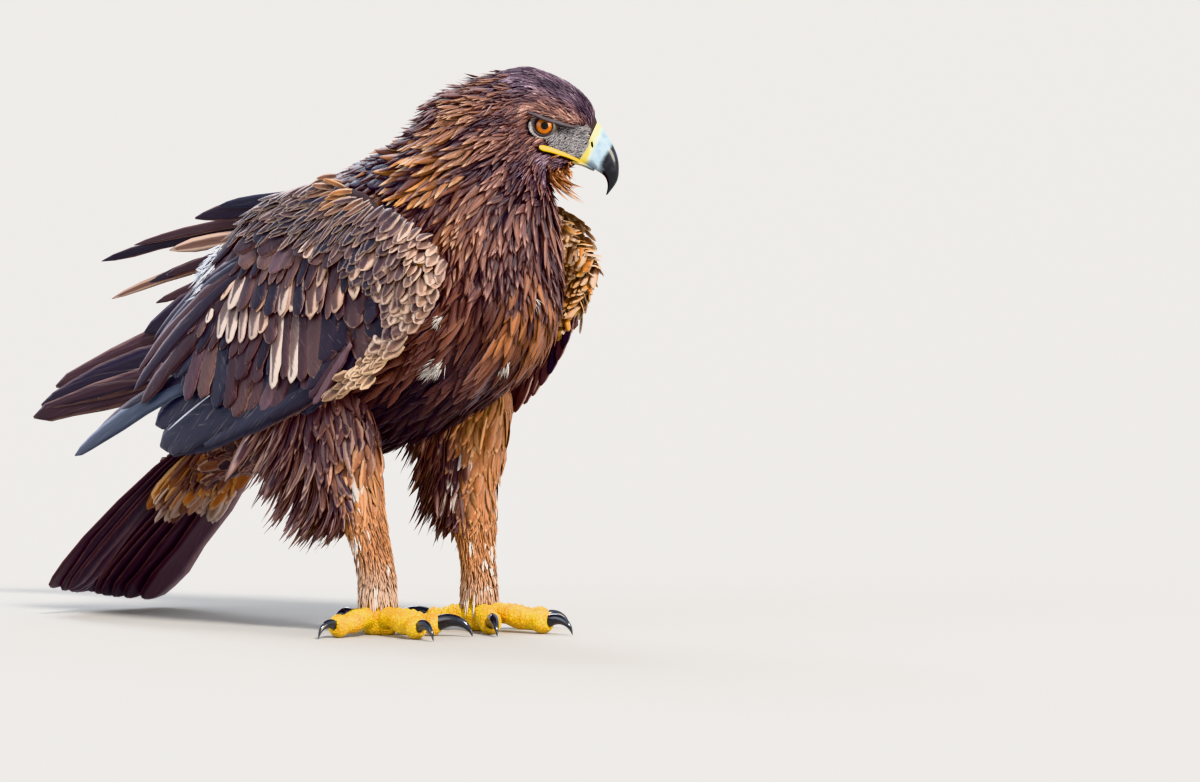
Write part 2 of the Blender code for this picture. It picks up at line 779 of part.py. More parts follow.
def build():
    for old in list(bpy.data.objects):
        bpy.data.objects.remove(old)
    eagle = bpy.data.collections.new("golden_eagle")
    bpy.context.scene.collection.children.link(eagle)

    torso = body_solid("torso", TORSO_SPAN, 11, eagle)
    neck = body_solid("neck", NECK_SPAN, 7, eagle)
    head = head_solid(eagle)
    tail = body_solid("tail", RUMP_SPAN, 4, eagle)

    # hackles of the neck, and the shoulder feathers
    hackles = []
    for r, (s, count) in enumerate(HACKLE_ROWS):
        for k in range(count):
            phi = 360 * (k + 0.5 * (r % 2)) / count
            long = HACKLE_LENGTH * (0.64 + 0.1 * r) * (1.0 + 0.12 * math.sin(5 * k + r))
            rise = 7.0 + 3.0 * math.sin(3 * k + 2 * r) + (5.0 if math.cos(math.radians(phi)) > 0.3 else 0.0)
            wide = HACKLE_WIDTH * (0.8 + 0.09 * r)
            hackles.append(body_vane(s, phi, long, wide, rise, 0.0, 0.05, 0.12, 3.0, 3))
    boolean(neck, vanes("hackle", hackles, eagle), "UNION")
    scapulars = []
    for s, phi, long, wide in SCAPULARS:
        for side in (-1, 1):
            tip = (s + long, (phi + 8) * side)
            scapulars.append(shingle(body_face, (s, phi * side), tip, wide, (-2.5, 4.5), 5.0, 0.08 * side))
    cut_clear(neck, [torso, head])
    boolean(torso, vanes("scapular", scapulars, eagle), "UNION")
    cut_clear(torso, [neck])
    merge_flats(neck)
    merge_flats(torso)

    # bill
    cere = loft("cere", [head_ring(r, 14) for r in CERE_RINGS], eagle)
    bill = loft("bill_upper", [head_ring(r, 14) for r in BILL_RINGS], eagle)
    lower = loft("bill_lower", [head_ring(r, 12) for r in LOWER_BILL_RINGS], eagle)
    eyes, lids, flanges, nostrils = [], [], [], []
    for name, side in (("eye_right", -1), ("eye_left", 1)):
        at = turned(EYE_AT[0], EYE_AT[1], HEAD_YAW, side * EYE_ASIDE)
        eyes.append(sphere(name, at, EYE_RADIUS, 12, 8, eagle))
        lid = []
        for k in range(12):
            a = 2 * math.pi * k / 12
            along, height = EYE_AT[0] + LID_RADIUS * math.cos(a), EYE_AT[1] + LID_RADIUS * math.sin(a)
            lid.append(turned(along, height, HEAD_YAW, side * (head_side(along, height) + 0.2)))
        lids.append(ring_tube("lid", lid, 1.8, 4, eagle))
        flange = []
        for along, height, _ in GAPE:
            flange.append(turned(along, height, HEAD_YAW, side * (head_side(along, height) - 0.6)))
        flanges.append(tube("gape", flange, [g[2] for g in GAPE], 5, eagle))
        slot = [turned(*at, HEAD_YAW, side * aside) for at, aside in ((NOSTRIL[0], 14), (NOSTRIL[1], 14))]
        nostrils.append(tube("nostril", slot, [4.2, 4.2], 6, eagle, 0.3))
    boolean(cere, flanges, "UNION")
    boolean(cere, nostrils, "DIFFERENCE")
    boolean(head, lids, "UNION")
    cut_clear(lower, [cere, bill])
    cut_clear(head, eyes + [cere, lower])
    for joined in (cere, lower, head):
        merge_flats(joined)

    # tail
    fan = []
    base, tip = Vector(TAIL_ROOT), Vector(TAIL_TIP)
    up = Vector((0, 1, 0)).cross(tip - base).normalized()
    up = up if up.z > 0 else -up
    for k in range(TAIL_FEATHERS):
        c = 2 * k / (TAIL_FEATHERS - 1) - 1
        aside = Vector((0, math.cos(math.radians(TAIL_ROLL)), math.sin(math.radians(TAIL_ROLL))))
        start = base + aside * (TAIL_SPREAD[0] * c) + up * (4 - 3 * abs(c))
        end = tip + aside * (TAIL_SPREAD[1] * c) + up * (4 - 6 * abs(c)) + (base - tip) * (0.05 * c * c)
        away = -1 if c > 0 else 1
        fan.append(vane(start, end, TAIL_FEATHER_WIDTH, up, 0.012, 1.4, 0.2 * away, 0.8, 5, False, TAIL_SWEEP * c))
    boolean(tail, vanes("rectrix", fan, eagle), "UNION")
    cut_clear(tail, [torso])
    merge_flats(tail)

    # legs and feet
    legs, feet = [], []
    for word, rows, toes, trousers in (
        ("right", RIGHT_LEG, RIGHT_TOES, RIGHT_TROUSERS),
        ("left", LEFT_LEG, LEFT_TOES, LEFT_TROUSERS),
    ):
        leg = loft("leg_" + word, [level_ring(*r, 16) for r in rows], eagle)
        feathers = []
        for ring, angle, end, wide in trousers:
            cx, cy, cz, half_long, half_wide = spline(rows, ring)
            a = math.radians(angle)
            start = Vector((cx + 0.7 * half_long * math.cos(a), cy + 0.7 * half_wide * math.sin(a), cz))
            out = Vector((math.cos(a), math.sin(a), 0.3))
            feathers.append(vane(start, Vector(end), wide, out, 0.06, 1.4, 0.1, 0.1, 4, False))
        boolean(leg, vanes("trouser", feathers, eagle), "UNION")
        cut_clear(leg, [torso])
        merge_flats(leg)
        x, y, z, half_long, half_wide = rows[-1]
        ankle = [
            level_ring(x, y, z - GAP, half_long - 1, half_wide - 1, 12),
            level_ring(x, y, z - 10, half_long - 3, half_wide - 3, 12),
            level_ring(x + 2, y, 14, half_long, half_wide, 12),
            level_ring(x + 2, y, -1, half_long - 4, half_wide - 4, 12),
        ]
        foot = loft("foot_" + word, ankle, eagle)
        pieces, claws = [], []
        for name, turn, length, claw in toes:
            a = math.radians(turn)
            ahead = Vector((math.cos(a), math.sin(a), 0))
            start = Vector((x + 2, y, 13))
            path, radii = [], []
            for t, lift, radius in TOE_SHAPE:
                path.append(start + ahead * (length * t) + Vector((0, 0, lift)))
                radii.append(radius)
            pieces.append(tube("toe", path, radii, 7, eagle))
            root = start + ahead * (length - 2) + Vector((0, 0, -1))
            claws.append(tube(f"claw_{word}_{name}", *claw_line(root, ahead, claw), 6, eagle, 1.15))
        boolean(foot, pieces, "UNION")
        level_off(foot)
        merge_flats(foot)
        for c in claws:
            level_off(c)
            cut_clear(c, [foot])
            paint(c, HORN, 0.25)
        paint(leg, TAWNY, 0.8)
        paint(foot, YELLOW, 0.5)
        legs.append(leg)
        feet.append(foot)

    # wings
    for word, side, primaries, tertials in (
        ("right", -1, RIGHT_PRIMARIES, RIGHT_TERTIALS),
        ("left", 1, LEFT_PRIMARIES, LEFT_TERTIALS),
    ):
        wing = wing_core("wing_" + word, eagle, side)
        feathers = [wing_vane(r, t, w, -3.0, 3.0, side, 0.12, False) for r, t, w in SECONDARIES]
        face = wing_face(side)
        for count, first, last, line, drop, wide in COVERT_ROWS:
            for k in range(count):
                p = first + (last - first) * k / (count - 1)
                q = along_line(line, p)
                root = (max(p - COVERT_SLANT, 0.0), max(q - drop, 0.0))
                feathers.append(shingle(face, root, (p, q), wide, (-2.0, 2.8), 3.5, 0.08 * side, 0.8))
        out = Vector((0, side, 0.1)).normalized()
        for start, end, width in primaries:
            feathers.append(vane(Vector(start), Vector(end), width, out, 0.02, 1.6, 0.1 * side, 0.5, 4, False))
        for start, end, width in tertials:
            feathers.append(vane(Vector(start), Vector(end), width, out, 0.03, 1.6, 0.25 * side, 0.5, 5, False))
        if side > 0:
            for start, end, width in LEFT_LOW_FEATHERS:
                feathers.append(vane(Vector(start), Vector(end), width, out, 0.02, 1.6, 0.1, 0.4, 4, False))
        boolean(wing, vanes("feather", feathers, eagle), "UNION")
        cut_clear(wing, [torso, neck] + legs)
        merge_flats(wing)
        paint(wing, BROWN, 0.7)

    for obj, colour, rough in (
        (torso, BROWN, 0.8),
        (neck, RUFOUS, 0.8),
        (head, RUFOUS, 0.8),
        (tail, BROWN, 0.7),
        (cere, YELLOW, 0.5),
        (bill, HORN, 0.3),
        (lower, HORN, 0.35),
        (eyes[0], (0.35, 0.12, 0.02), 0.05),
        (eyes[1], (0.35, 0.12, 0.02), 0.05),
    ):
        paint(obj, colour, rough)


build()
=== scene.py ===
import math
import bmesh
import bpy
import numpy as np
from mathutils import Matrix, Vector


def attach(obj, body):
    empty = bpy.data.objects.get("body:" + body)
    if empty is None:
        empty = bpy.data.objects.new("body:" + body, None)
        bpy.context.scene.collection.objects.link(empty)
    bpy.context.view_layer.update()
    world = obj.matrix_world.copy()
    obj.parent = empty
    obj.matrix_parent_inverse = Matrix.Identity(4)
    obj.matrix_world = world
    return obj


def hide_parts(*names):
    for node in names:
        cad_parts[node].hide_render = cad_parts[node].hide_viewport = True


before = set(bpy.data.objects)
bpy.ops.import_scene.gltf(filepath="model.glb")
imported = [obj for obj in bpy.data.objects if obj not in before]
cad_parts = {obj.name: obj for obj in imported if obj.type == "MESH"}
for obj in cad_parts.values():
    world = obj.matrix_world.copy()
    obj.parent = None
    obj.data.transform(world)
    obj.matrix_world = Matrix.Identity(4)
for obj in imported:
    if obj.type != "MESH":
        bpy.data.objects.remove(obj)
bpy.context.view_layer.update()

# The skin
# The flesh of the bird under its feathers: head, neck, trunk, rump, legs and both wings in one
# closed surface, so no seam shows. It lies inside the solids by the depth of the coat.
AHEAD = np.array((201.0, 4.0, 0.0))
NECK_AXIS = 75.0
HEAD_YAW = math.radians(42.0)
BODY_RINGS = np.array((
    (109, 484.5, 91, 447, 13.5, 42),
    (101.5, 504, 83, 444, 20, 42),
    (86.5, 519.5, 75, 441, 27, 42),
    (65, 531, 69, 439, 31.5, 42),
    (42, 538, 64, 437, 35, 42),
    (15, 533, 62, 434, 38, 42),
    (-14, 520, 62, 430, 41, 39),
    (-44, 504, 64, 424, 46, 32),
    (-64, 482, 67, 414, 53, 22),
    (-95, 461, 72, 396, 62, 10),
    (-128, 450, 76, 350, 75, 2),
    (-160, 438, 76, 302, 86, 0),
    (-192, 420, 50, 258, 92, 0),
    (-222, 388, -10, 219, 90, 0),
    (-250, 344, -92, 184, 80, 0),
    (-274, 296, -172, 164, 63, 0),
    (-298, 254, -246, 154, 49, 0),
    (-322, 224, -300, 148, 40, 0),
    (-350, 190, -346, 140, 36, 0),
    (-392, 158, -396, 128, 27, 0),
))
HEAD_FORMS = (
    ((36, 500), (56, 497), 6.5, 4.5),
    ((56, 497), (87, 487.5), 5.5, 5.5),
    ((66, 481), (88, 473), 7.0, -4.5),
    ((52, 482), (63, 482), 9.0, -3.5),
    ((30, 466), (50, 450), 20.0, 4.0),
)
LEG_RINGS = {
    "right": np.array((
        (-76, -44, 272, 16, 12),
        (-72, -53, 252, 40, 26),
        (-66, -62, 222, 48, 32),
        (-56, -60, 182, 45, 33),
        (-44, -57, 146, 34, 28),
        (-31, -55, 112, 24, 21),
        (-20, -53, 80, 19, 18),
        (-14.5, -52, 56, 18.5, 17.5),
        (-12.5, -52, 38, 19, 18),
    )),
    "left": np.array((
        (-4, 42, 272, 16, 12),
        (0, 52, 252, 38, 26),
        (4, 60, 222, 46, 32),
        (7, 57, 190, 40, 32),
        (9, 54, 146, 30, 25),
        (14, 53, 107, 22.5, 20),
        (20, 52, 70, 17, 16.5),
        (22, 52, 50, 17, 16.5),
        (22, 52, 38, 18, 17.5),
    )),
}
WING_TOP = np.array(((120, -122, 372), (52, -114, 405), (-28, -98, 434), (-140, -84, 394), (-220, -78, 328)))
WING_FOOT = np.array(((110, -120, 318), (68, -118, 281), (-33, -112, 226), (-137, -104, 193), (-255, -86, 177)))
WING_SWELL = 12.0
SIDES = {"right": np.array((1.0, 1.0, 1.0)), "left": np.array((1.0, -1.0, 1.0))}


def through(rows, s):
    """The smooth curve through rows of numbers, at each s from 0 to the last row's index."""
    rows = np.asarray(rows, float)
    s = np.asarray(s, float)
    last = len(rows) - 1
    i = np.clip(np.floor(s).astype(int), 0, last - 1)
    t = (s - i)[..., None]
    b, c, d, e = (rows[np.clip(i + k, 0, last)] for k in (-1, 0, 1, 2))
    return 0.5 * (2 * c + (d - b) * t + (2 * b - 5 * c + 4 * d - e) * t**2 + (3 * c - b - 3 * d + e) * t**3)


def unit(v):
    return v / np.maximum(np.linalg.norm(v, axis=-1, keepdims=True), 1e-9)


def stack(*parts):
    return np.stack(np.broadcast_arrays(*parts), -1)


def turned(along, height, yaw, aside=0.0):
    """Points so far ahead of the neck's axis in the upright plane turned by yaw, in radians."""
    c, s = np.cos(yaw), np.sin(yaw)
    return stack(NECK_AXIS + along * c - aside * s, along * s + aside * c, height)


def head_place(p):
    """How far along, high and aside points are, in the head's own upright plane."""
    x, y = p[..., 0] - NECK_AXIS, p[..., 1]
    c, s = math.cos(HEAD_YAW), math.sin(HEAD_YAW)
    return x * c + y * s, p[..., 2], y * c - x * s


def formed(p):
    """Moves points of the head sideways by its brow, socket, cheek and mouth."""
    along, height, aside = head_place(p)
    out = np.zeros_like(along)
    for (a0, h0), (a1, h1), reach, rise in HEAD_FORMS:
        da, dh = a1 - a0, h1 - h0
        t = np.clip(((along - a0) * da + (height - h0) * dh) / (da * da + dh * dh), 0, 1)
        d2 = (along - a0 - da * t) ** 2 + (height - h0 - dh * t) ** 2
        out = out + rise * np.exp(-d2 / reach**2)
    out = out * np.clip(aside / 9.0, -1, 1)
    return p + stack(-math.sin(HEAD_YAW) * out, math.cos(HEAD_YAW) * out, 0 * out)


def body(s, phi):
    """The trunk's outer face at ring s and angle phi, in radians from the back round to the left."""
    ring = through(BODY_RINGS, s)
    yaw = np.radians(ring[..., 5])
    top = turned(ring[..., 0], ring[..., 1], yaw)
    low = turned(ring[..., 2], ring[..., 3], yaw)
    side = stack(-np.sin(yaw), np.cos(yaw), 0 * yaw)
    at = (top + low) / 2 + (top - low) / 2 * np.cos(phi)[..., None]
    at = at + side * (ring[..., 4] * np.sin(phi))[..., None]
    share = np.clip((7.5 - np.asarray(s)) / 1.5, 0, 1)[..., None]
    return at + (formed(at) - at) * share


def leg(word):
    """The face of one leg by its ring and the angle round from straight ahead to the right."""

    def face(s, phi):
        ring = through(LEG_RINGS[word], np.minimum(s, 8))
        low = ring[..., 2] - 16 * np.maximum(np.asarray(s, float) - 8, 0)
        return stack(ring[..., 0] + ring[..., 3] * np.cos(phi), ring[..., 1] - ring[..., 4] * np.sin(phi), low)

    return face


def wing_face(p, q):
    """The right wing's outer face, p from its front to its back and q from its top to its foot."""
    p, q = np.asarray(p, float), np.asarray(q, float)
    top, foot = through(WING_TOP, p * 4), through(WING_FOOT, p * 4)
    swell = WING_SWELL * np.sin(np.pi * np.clip(q, 0, 1))
    at = top + (foot - top) * q[..., None]
    return at - stack(0 * swell, swell, 0 * swell)


def facing(surface, a, b, e=0.01):
    """The surface's slopes along a and b, and its outward normal."""
    da = (surface(a + e, b) - surface(a - e, b)) / (2 * e)
    db = (surface(a, b + e) - surface(a, b - e)) / (2 * e)
    return da, db, unit(np.cross(db, da))


def in_frame(points):
    """Millimetres in the bird's own frame to metres in the row frame."""
    return (np.asarray(points) + AHEAD) * 0.001


def joined(name, bm, smooth=True):
    """Links a bmesh in the bird's millimetres as an object, its faces outwards, and frees it."""
    bmesh.ops.recalc_face_normals(bm, faces=bm.faces)
    for v in bm.verts:
        v.co = Vector(in_frame(v.co))
    for f in bm.faces:
        f.smooth = smooth
    mesh = bpy.data.meshes.new(name)
    bm.to_mesh(mesh)
    bm.free()
    made = bpy.data.objects.new(name, mesh)
    bpy.context.scene.collection.objects.link(made)
    return made


def loft(bm, rings, segments, caps=True):
    """Bridges ovals, each given by its middle and two half axes, into one closed tube."""
    loops = []
    for middle, one, two in rings:
        flat = Matrix.Identity(4)
        flat.col[0][:3], flat.col[1][:3], flat.col[3][:3] = one, two, middle
        flat.col[2][:3] = Vector(one).cross(Vector(two)).normalized()
        loops.append(bmesh.ops.create_circle(bm, segments=segments, radius=1, matrix=flat)["verts"])
    for here, there in zip(loops, loops[1:]):
        near = {e for v in here for e in v.link_edges if e.other_vert(v) in here and not e.link_faces[1:]}
        far = {e for v in there for e in v.link_edges if e.other_vert(v) in there}
        bmesh.ops.bridge_loops(bm, edges=list(near | far))
    if caps:
        for loop in (loops[0], loops[-1]):
            bm.faces.new(loop)
    return loops


def fitted(obj):
    """Replaces an object's mesh by what its modifiers make of it."""
    graph = bpy.context.evaluated_depsgraph_get()
    mesh = bpy.data.meshes.new_from_object(obj.evaluated_get(graph))
    obj.modifiers.clear()
    obj.data = mesh
    return obj


COAT_DEPTH = ((0, 0.4), (0.6, 1.0), (3, 2.2), (6, 5), (8, 8), (16, 8), (19, 5))
flesh = bmesh.new()
rings = []
for k in range(77):
    s = 19 * k / 76
    top_a, top_z, low_a, low_z, half, yaw = through(BODY_RINGS, s)
    yaw = math.radians(yaw)
    deep = float(np.interp(s, *zip(*COAT_DEPTH)))
    top, low = Vector(turned(top_a, top_z, yaw)), Vector(turned(low_a, low_z, yaw))
    tall = (top - low) / 2
    rings.append(((top + low) / 2, Vector((-math.sin(yaw), math.cos(yaw), 0)) * (half - deep), tall * (1 - deep / tall.length)))
loft(flesh, rings, 44)
bmesh.ops.recalc_face_normals(flesh, faces=flesh.faces)
for v in flesh.verts:
    v.co = Vector(formed(np.array(v.co)))
for word in ("right", "left"):
    rows = []
    for k in range(25):
        x, y, z, half_long, half_wide = through(LEG_RINGS[word], 8 * k / 24)
        deep = 5.0 if z > 120 else 2.6
        rows.append(((x, y, z), (half_long - deep, 0, 0), (0, half_wide - deep, 0)))
    loft(flesh, rows, 28)
    ball = bmesh.ops.create_uvsphere(flesh, u_segments=40, v_segments=24, radius=1)["verts"]
    at = np.array([v.co for v in ball])
    p, q, deep = 0.5 + 0.47 * at[:, 0], 0.42 + 0.4 * at[:, 1], 0.5 - 0.5 * at[:, 2]
    thick = (6 + 30 * (1 - q) ** 1.4) * (1 - 0.5 * np.maximum(p - 0.5, 0) / 0.5)
    _, _, out = facing(wing_face, p, q)
    out = np.where(out[:, 1:2] < 0, out, -out)
    placed = (wing_face(p, q) - out * (4 + thick * deep)[:, None]) * SIDES[word]
    for v, c in zip(ball, placed):
        v.co = Vector(c)
skin = joined("skin", flesh)
mesher = skin.modifiers.new("one surface", "REMESH")
mesher.mode = "VOXEL"
mesher.voxel_size = 0.003
mesher.use_smooth_shade = True
easing = skin.modifiers.new("eased", "SMOOTH")
easing.factor, easing.iterations = 0.5, 4
fitted(skin)


class Value:
    """A socket of a material, on which arithmetic adds the nodes that work it out."""

    def __init__(self, paint, socket):
        self.paint, self.socket = paint, socket

    def sum(self, kind, other, swap=False):
        pair = (other, self) if swap else (self, other)
        return self.paint.node("ShaderNodeMath", {"operation": kind}, pair)

    def __add__(self, other):
        return self.sum("ADD", other)

    def __radd__(self, other):
        return self.sum("ADD", other)

    def __sub__(self, other):
        return self.sum("SUBTRACT", other)

    def __rsub__(self, other):
        return self.sum("SUBTRACT", other, True)

    def __mul__(self, other):
        return self.sum("MULTIPLY", other)

    def __rmul__(self, other):
        return self.sum("MULTIPLY", other)

    def __truediv__(self, other):
        return self.sum("DIVIDE", other)

    def __pow__(self, other):
        return self.sum("POWER", other)

    def __abs__(self):
        return self.sum("ABSOLUTE", 0.0)

    def most(self, other):
        return self.sum("MAXIMUM", other)

    def least(self, other):
        return self.sum("MINIMUM", other)

    def ramp(self, low, high, to_low=0.0, to_high=1.0):
        """Eased from to_low at low to to_high at high."""
        return self.paint.node(
            "ShaderNodeMapRange", {"interpolation_type": "SMOOTHSTEP"}, (self, low, high, to_low, to_high)
        )


class Paint:
    """A material being mixed: node() adds any node, and what it gives can be reckoned with."""

    def __init__(self, name, roughness=0.6, **fixed):
        self.material = bpy.data.materials.new(name)
        self.material.use_nodes = True
        self.tree = self.material.node_tree
        self.shader = self.tree.nodes["Principled BSDF"]
        self.shader.inputs["Roughness"].default_value = roughness
        for key, value in fixed.items():
            self.shader.inputs[key.replace("_", " ")].default_value = value

    def node(self, kind, settings=None, inputs=(), out=0):
        made = self.tree.nodes.new(kind)
        for key, value in (settings or {}).items():
            setattr(made, key, value)
        pairs = inputs.items() if isinstance(inputs, dict) else enumerate(inputs)
        for key, value in pairs:
            self.feed(made.inputs[key], value)
        return Value(self, made.outputs[out])

    def feed(self, socket, value):
        if isinstance(value, Value):
            self.tree.links.new(value.socket, socket)
        elif hasattr(socket.default_value, "__len__") and not hasattr(value, "__len__"):
            socket.default_value = [value] * len(socket.default_value)
        elif hasattr(value, "__len__") and len(value) == 3 and len(socket.default_value) == 4:
            socket.default_value = (*value, 1.0)
        else:
            socket.default_value = value

    def mix(self, share, one, two, way="MIX"):
        settings = {"data_type": "RGBA", "blend_type": way, "clamp_factor": True}
        return self.node("ShaderNodeMix", settings, {0: share, 6: one, 7: two}, 2)

    def attribute(self, name, out=0):
        return self.node("ShaderNodeAttribute", {"attribute_name": name}, (), out)

    def place(self):
        return self.node("ShaderNodeTexCoord", {}, (), 3)

    def noise(self, where, scale, detail=2.0, rough=0.5):
        return self.node("ShaderNodeTexNoise", {}, {"Vector": where, "Scale": scale, "Detail": detail, "Roughness": rough})

    def parts(self, vector):
        made = self.tree.nodes.new("ShaderNodeSeparateXYZ")
        self.feed(made.inputs[0], vector)
        return [Value(self, o) for o in made.outputs]

    def finish(self, colour=None, roughness=None, bump=None, depth=0.001, strength=0.5):
        if colour is not None:
            self.feed(self.shader.inputs["Base Color"], colour)
        if roughness is not None:
            self.feed(self.shader.inputs["Roughness"], roughness)
        if bump is not None:
            lit = self.node("ShaderNodeBump", {}, {"Strength": strength, "Distance": depth, "Height": bump})
            self.feed(self.shader.inputs["Normal"], lit)
        return self.material


def dress(obj, material, nodes=()):
    obj.data.materials.clear()
    obj.data.materials.append(material)
    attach(obj, "root")
    if nodes:
        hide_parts(*nodes)
    return obj


UMBER = np.array((0.040, 0.020, 0.024))
DUSK = np.array((0.075, 0.034, 0.042))
RUSSET = np.array((0.26, 0.085, 0.038))
TAWNY = np.array((0.58, 0.27, 0.12))
hide = Paint("down_skin", 0.9)
spread = hide.noise(hide.place(), 60.0, 3.0)
hide.finish(hide.mix(spread, hide.attribute("tint"), (0.02, 0.011, 0.012)), None, spread, 0.001, 0.4)
spots = np.array([v.co for v in skin.data.vertices]) / 0.001 - AHEAD
colour = np.tile(UMBER, (len(spots), 1))
colour[spots[:, 2] < 130] = TAWNY * 0.35
shade = skin.data.attributes.new("tint", "FLOAT_COLOR", "POINT")
shade.data.foreach_set("color", np.concatenate([colour, np.ones((len(colour), 1))], 1).astype(np.float32).ravel())
dress(
    skin, hide.material,
    ("torso", "neck", "head", "tail", "leg_right", "leg_left", "wing_right", "wing_left"),
)

# The coat of the trunk
# Each feather is a thin horn-like vane on a shaft: it roots in the skin and lies back over the
# next ones like a roof tile. Its colour follows its own length and breadth from the "vane" map.
THIN = ((-1, 0), (0, 1), (1, 0), (0, -1))
HAIR = ((-1, 0), (0, 1), (1, 0))
BROAD = ((-1, 0), (-0.5, 1), (0, 1.5), (0.5, 1), (1, 0), (0.5, -1), (0, -1), (-0.5, -1))
LANCE = ((0, 0.5), (0.22, 0.85), (0.5, 1.0), (0.72, 0.78), (0.9, 0.4), (1, 0.03))
OVAL = ((0, 0.5), (0.22, 0.85), (0.5, 1.0), (0.76, 0.96), (0.93, 0.62), (1, 0.12))
WISP = ((0, 0.9), (0.35, 1.0), (0.7, 0.7), (1, 0.05))


def walk(surface, a, b, heading, length, stations):
    """Lays each feather's middle line over a surface from (a, b), heading off the way of growing a."""
    a, b = np.array(a, float), np.array(b, float)
    points, normals = [], []
    for k, t in enumerate(stations):
        da, db, n = facing(surface, a, b)
        points.append(surface(a, b))
        normals.append(n)
        if k + 1 == len(stations):
            break
        ahead = unit(da)
        way = ahead * np.cos(heading)[:, None] + np.cross(n, ahead) * np.sin(heading)[:, None]
        step = way * (length * (stations[k + 1] - t))[:, None]
        g11, g12, g22 = (da * da).sum(1), (da * db).sum(1), (db * db).sum(1)
        r1, r2 = (step * da).sum(1), (step * db).sum(1)
        fall = np.maximum(g11 * g22 - g12 * g12, 1e-6)
        a = a + np.clip((r1 * g22 - r2 * g12) / fall, -1.2, 1.2)
        b = b + np.clip((r2 * g11 - r1 * g12) / fall, -0.6, 0.6)
    return np.stack(points, 1), np.stack(normals, 1)


def scattered(surface, a_span, b_span, gap, rng, keep=None, tries=3.0):
    """Roots spread evenly but at random over a stretch of surface, about gap(a, b) apart."""
    n = 160
    a = a_span[0] + (a_span[1] - a_span[0]) * (np.arange(n) + 0.5) / n
    b = b_span[0] + (b_span[1] - b_span[0]) * (np.arange(n) + 0.5) / n
    a, b = (g.ravel() for g in np.meshgrid(a, b))
    da, db, _ = facing(surface, a, b)
    area = np.linalg.norm(np.cross(da, db), axis=1) * (a_span[1] - a_span[0]) * (b_span[1] - b_span[0]) / n**2
    want = area / gap(a, b) ** 2
    if keep is not None:
        want = want * keep(a, b)
    count = int(want.sum() * tries)
    pick = rng.choice(len(a), count, p=want / want.sum())
    a = a[pick] + (rng.random(count) - 0.5) * (a_span[1] - a_span[0]) / n
    b = b[pick] + (rng.random(count) - 0.5) * (b_span[1] - b_span[0]) / n
    where, reach = surface(a, b), gap(a, b) * 0.82
    cell = float(reach.max())
    grid, chosen = {}, []
    keys = np.floor(where / cell).astype(int)
    for i in range(count):
        x, y, z = keys[i]
        p, r2 = where[i], reach[i] ** 2
        near = (
            j
            for dx in (-1, 0, 1)
            for dy in (-1, 0, 1)
            for dz in (-1, 0, 1)
            for j in grid.get((x + dx, y + dy, z + dz), ())
        )
        if all((where[j][0] - p[0]) ** 2 + (where[j][1] - p[1]) ** 2 + (where[j][2] - p[2]) ** 2 > r2 for j in near):
            grid.setdefault((x, y, z), []).append(i)
            chosen.append(i)
    return a[chosen], b[chosen]


